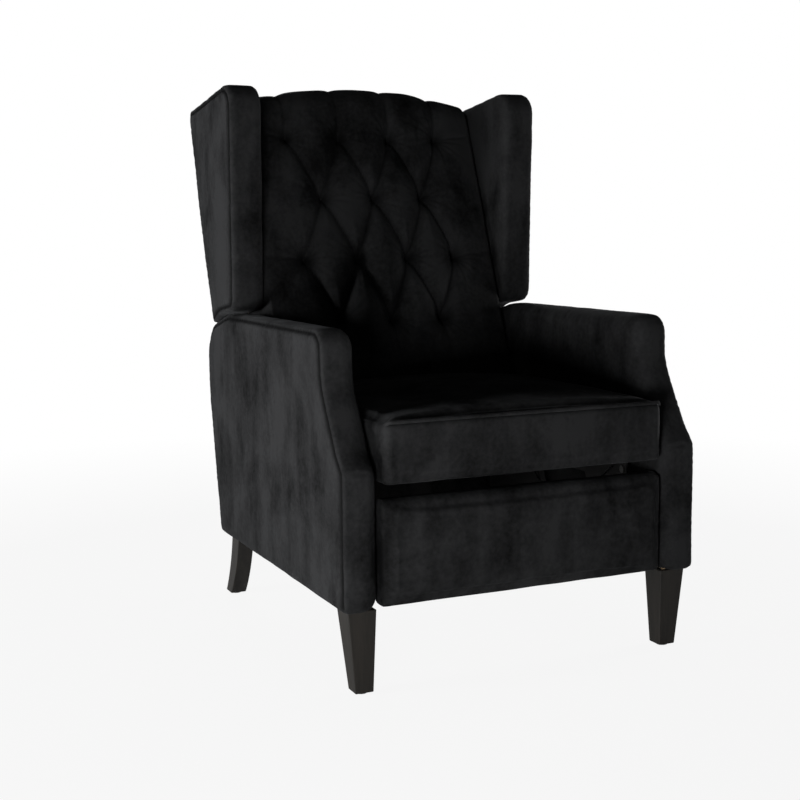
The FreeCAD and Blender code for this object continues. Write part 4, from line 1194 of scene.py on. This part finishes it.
def islands(shape):
    """The separate bodies of a mesh, each as the places of its points."""
    left = set(shape.verts)
    while left:
        places = []
        front = [left.pop()]
        while front:
            vertex = front.pop()
            places.append(vertex.co)
            for edge in vertex.link_edges:
                other = edge.other_vert(vertex)
                if other in left:
                    left.discard(other)
                    front.append(other)
        yield np.array(places)


def screw_heads(name):
    """The head of each screw in a node: (place, direction out of the surface)."""
    solid = merged(name)
    heads = []
    for points in islands(solid):
        low, high = points.min(0), points.max(0)
        axis = int(np.argmax(high - low))
        middle = (low + high) / 2
        away = np.linalg.norm(np.delete(points - middle, axis, axis=1), axis=1)
        wide = points[away > 0.9 * away.max()]
        direction = np.zeros(3)
        direction[axis] = 1.0 if wide[:, axis].mean() > middle[axis] else -1.0
        middle[axis] = high[axis] if direction[axis] > 0 else low[axis]
        heads.append((middle, direction))
    solid.free()
    return heads


def screw_head_mesh(settings):
    """A low domed screw head with a cross recess, pointing up, its border sunk below the surface."""
    around, rings = 40, 9
    recess, arm_half, arm_reach, doming, sunk = 0.0011, 0.0006, 0.62, 0.55, 0.0014
    radius, height = settings.screw_radius, settings.screw_height
    turns = [2 * math.pi * i / around for i in range(around)]
    vertices = [(0.0, 0.0, height - recess)]
    for ring in range(1, rings + 1):
        away = radius * ring / rings
        dome = height * (1.0 - (away / radius) ** 3 * doming)
        for turn in turns:
            x, y = away * math.cos(turn), away * math.sin(turn)
            arm = min(abs(x), abs(y)) < arm_half and away < radius * arm_reach
            vertices.append((x, y, dome - (recess if arm else 0.0)))
    vertices.extend((radius * math.cos(turn), radius * math.sin(turn), -sunk) for turn in turns)
    faces = [(0, 1 + i, 1 + (i + 1) % around) for i in range(around)]
    faces.extend(strips(rings + 1, around, first=1))
    faces.append(tuple(reversed(range(len(vertices) - around, len(vertices)))))
    return new_mesh("screw_head", vertices, faces)


def screw_tree():
    """Screw heads on points that hold the direction of each, each turned at random."""
    tree = Tree("screw_heads")
    head = tree.input("Head", "Object")
    seed = tree.input("Seed", "Int")
    points = tree.change("MeshToPoints")
    shape = tree.node("GeometryNodeObjectInfo", None, {"Object": head})["Geometry"]
    kind = {"data_type": "FLOAT_VECTOR"}
    outward = tree.node("GeometryNodeInputNamedAttribute", kind, {"Name": "outward"})[0]
    placed = tree.copies(shape, points, "Z", outward, (0.0, 2 * math.pi), seed)
    return tree.end(placed, "fastener_steel")


def make_screw_heads(scene):
    """Domed cross-recess heads on all screws."""
    sunk = 1.3 * MILLIMETRE
    settings = scene.recliner_fixings
    tree = screw_tree()
    template = new_object("screw_template", screw_head_mesh(settings))
    for body in ("base", "back", "seat", "footrest"):
        heads = screw_heads(f"{body}_screws")
        mesh = new_mesh(body, [tuple(place - out * sunk) for place, out in heads])
        attribute = mesh.attributes.new("outward", "FLOAT_VECTOR", "POINT")
        attribute.data.foreach_set("vector", np.array([out for place, out in heads], np.float32).ravel())
        piece = new_object(f"{body}_screw_heads", mesh)
        tree.apply_to(piece, Head=template, Seed=settings.seed)
        complete(piece, body, "fastener_steel")
    mesh = template.data
    bpy.data.objects.remove(template)
    bpy.data.meshes.remove(mesh)


# Stage


def camera_axes(settings):
    """The camera's right, up and back directions."""
    yaw, pitch, roll = settings.yaw, settings.pitch, settings.roll
    back = Vector((math.sin(yaw) * math.cos(pitch), -math.cos(yaw) * math.cos(pitch), math.sin(pitch)))
    right = (-back).cross(Vector((0.0, 0.0, 1.0))).normalized()
    up = right.cross(-back)
    return right * math.cos(roll) + up * math.sin(roll), up * math.cos(roll) - right * math.sin(roll), back


def floor_material(settings):
    """A pale floor that is white to the camera away from the chair, and keeps the chair's shadow."""
    shader = Shader("floor")
    place = shader.coordinates()
    away = shader.node("VectorMath", {"operation": "LENGTH"}, {0: place})["Value"]
    far = shader.ramp(away / 4.0, (0.28, 0.0), (0.62, 1.0))
    camera = shader.node("LightPath")["Is Camera Ray"]
    plain = shader.node("BsdfDiffuse", None, {"Color": (*rgb(settings.floor), 1.0)})[0]
    white = shader.node("Emission", None, {"Color": WHITE, "Strength": 1.0})[0]
    factor = camera * (0.90 + 0.10 * far)
    return shader.finish(shader.node("MixShader", None, {0: factor, 1: plain, 2: white})[0])


def make_world(scene):
    """White to the camera and in transmission, and a quiet even light on everything else."""
    shader = Shader("studio", world=True)
    path = shader.node("LightPath")
    rays = {0: path["Is Camera Ray"], 1: path["Is Transmission Ray"]}
    seen = shader.node("Math", {"operation": "MAXIMUM"}, rays)[0]
    plain = {"Color": WHITE, "Strength": scene.recliner_stage.ambient}
    quiet = shader.node("Background", None, plain)[0]
    white = shader.node("Background", None, {"Color": WHITE})[0]
    scene.world = shader.finish(shader.node("MixShader", None, {0: seen, 1: quiet, 2: white})[0])


def make_lamp(scene, name, place, watts, width, target=(0.0, 0.0, 0.5)):
    lamp = bpy.data.lights.new(name, "AREA")
    lamp.energy = watts
    lamp.shape = "SQUARE"
    lamp.size = width
    holder = bpy.data.objects.new(name, lamp)
    holder.location = place
    holder.rotation_euler = (Vector(target) - Vector(place)).to_track_quat("-Z", "Y").to_euler()
    scene.collection.objects.link(holder)


def make_stage(scene):
    """Floor, soft lamps and the camera."""
    settings = scene.recliner_stage
    half = settings.floor_side / 2
    corners = [(-half, -half, 0.0), (half, -half, 0.0), (half, half, 0.0), (-half, half, 0.0)]
    floor = new_object("floor", new_mesh("floor", corners, [(0, 1, 2, 3)]))
    floor.data.materials.append(floor_material(settings))
    make_world(scene)
    make_lamp(scene, "key_lamp", (-3.1, -0.05, 0.55), settings.key, 0.9)
    make_lamp(scene, "front_lamp", (-1.15, -1.7, 0.2), settings.front, 0.4, (0.0, -0.4, 0.25))
    make_lamp(scene, "right_lamp", (3.1, 0.2, 0.55), settings.right, 0.9)
    make_lamp(scene, "top_lamp", (0.0, -0.2, 3.0), settings.top, 2.0)
    make_lamp(scene, "rear_lamp", (0.6, 3.0, 1.5), settings.rear, 1.8)
    data = bpy.data.cameras.new("camera")
    data.lens = settings.lens
    data.sensor_width = 36.0
    camera = bpy.data.objects.new("camera", data)
    right, up, back = camera_axes(settings)
    camera.matrix_world = Matrix.Translation(settings.eye) @ Matrix((right, up, back)).transposed().to_4x4()
    scene.collection.objects.link(camera)
    scene.camera = camera
    scene.view_settings.view_transform = "Standard"


# Operators and panel


class RECLINER_OT_stage(bpy.types.Operator):
    """Makes the floor, the lamps and the camera"""

    bl_idname = "recliner.stage"
    bl_label = "Stage"

    def execute(self, context):
        make_stage(context.scene)
        return {"FINISHED"}


class RECLINER_OT_construction(bpy.types.Operator):
    """Gives the construction its wood, steel and cloth finishes"""

    bl_idname = "recliner.construction"
    bl_label = "Construction finishes"

    def execute(self, context):
        paint_construction()
        return {"FINISHED"}


class RECLINER_OT_back(bpy.types.Operator):
    """Makes the tufted back cushion"""

    bl_idname = "recliner.back_cushion"
    bl_label = "Tufted back"

    def execute(self, context):
        make_back_cushion(context.scene)
        return {"FINISHED"}


class RECLINER_OT_seat(bpy.types.Operator):
    """Makes the seat cushion and its piped seam"""

    bl_idname = "recliner.seat"
    bl_label = "Seat"

    def execute(self, context):
        make_seat(context.scene)
        make_piping(context.scene)
        return {"FINISHED"}


class RECLINER_OT_footrest(bpy.types.Operator):
    """Makes the padded footrest"""

    bl_idname = "recliner.footrest"
    bl_label = "Footrest"

    def execute(self, context):
        make_footrest(context.scene)
        return {"FINISHED"}


class RECLINER_OT_arms(bpy.types.Operator):
    """Makes the two arms"""

    bl_idname = "recliner.arms"
    bl_label = "Arms"

    def execute(self, context):
        make_arms(context.scene)
        return {"FINISHED"}


class RECLINER_OT_wings(bpy.types.Operator):
    """Makes the two wings"""

    bl_idname = "recliner.wings"
    bl_label = "Wings"

    def execute(self, context):
        make_wings(context.scene)
        return {"FINISHED"}


class RECLINER_OT_panels(bpy.types.Operator):
    """Makes the panels at the rear"""

    bl_idname = "recliner.panels"
    bl_label = "Rear panels"

    def execute(self, context):
        make_panels(context.scene)
        return {"FINISHED"}


class RECLINER_OT_legs(bpy.types.Operator):
    """Makes the four legs"""

    bl_idname = "recliner.legs"
    bl_label = "Legs"

    def execute(self, context):
        make_legs(context.scene)
        return {"FINISHED"}


class RECLINER_OT_underside(bpy.types.Operator):
    """Makes the cloth under the seat, the staples and the screw heads"""

    bl_idname = "recliner.underside"
    bl_label = "Underside and fixings"

    def execute(self, context):
        make_dust_cloth()
        make_staples(context.scene)
        make_screw_heads(context.scene)
        return {"FINISHED"}


OPERATORS = (
    RECLINER_OT_stage,
    RECLINER_OT_construction,
    RECLINER_OT_back,
    RECLINER_OT_seat,
    RECLINER_OT_footrest,
    RECLINER_OT_arms,
    RECLINER_OT_wings,
    RECLINER_OT_panels,
    RECLINER_OT_legs,
    RECLINER_OT_underside,
)


class RECLINER_PT_pieces(bpy.types.Panel):
    """Lists the recliner's pieces in the sidebar"""

    bl_idname = "RECLINER_PT_pieces"
    bl_label = "Recliner"
    bl_space_type = "VIEW_3D"
    bl_region_type = "UI"
    bl_category = "Recliner"

    def draw(self, context):
        for operator in OPERATORS:
            self.layout.operator(operator.bl_idname)
        for name, group in SETTINGS.items():
            box = self.layout.box()
            box.label(text=group.__doc__)
            for key in group.__annotations__:
                box.prop(getattr(context.scene, name), key)


def register():
    for name, group in SETTINGS.items():
        bpy.utils.register_class(group)
        setattr(bpy.types.Scene, name, PointerProperty(type=group))
    for item in OPERATORS + (RECLINER_PT_pieces,):
        bpy.utils.register_class(item)


def unregister():
    for item in reversed(OPERATORS + (RECLINER_PT_pieces,)):
        bpy.utils.unregister_class(item)
    for name, group in reversed(SETTINGS.items()):
        delattr(bpy.types.Scene, name)
        bpy.utils.unregister_class(group)


def main():
    """Registers the sidebar's settings and operators, then makes the whole recliner."""
    register()
    for operator in OPERATORS:
        family, name = operator.bl_idname.split(".")
        getattr(getattr(bpy.ops, family), name)()


if __name__ == "__main__":
    main()
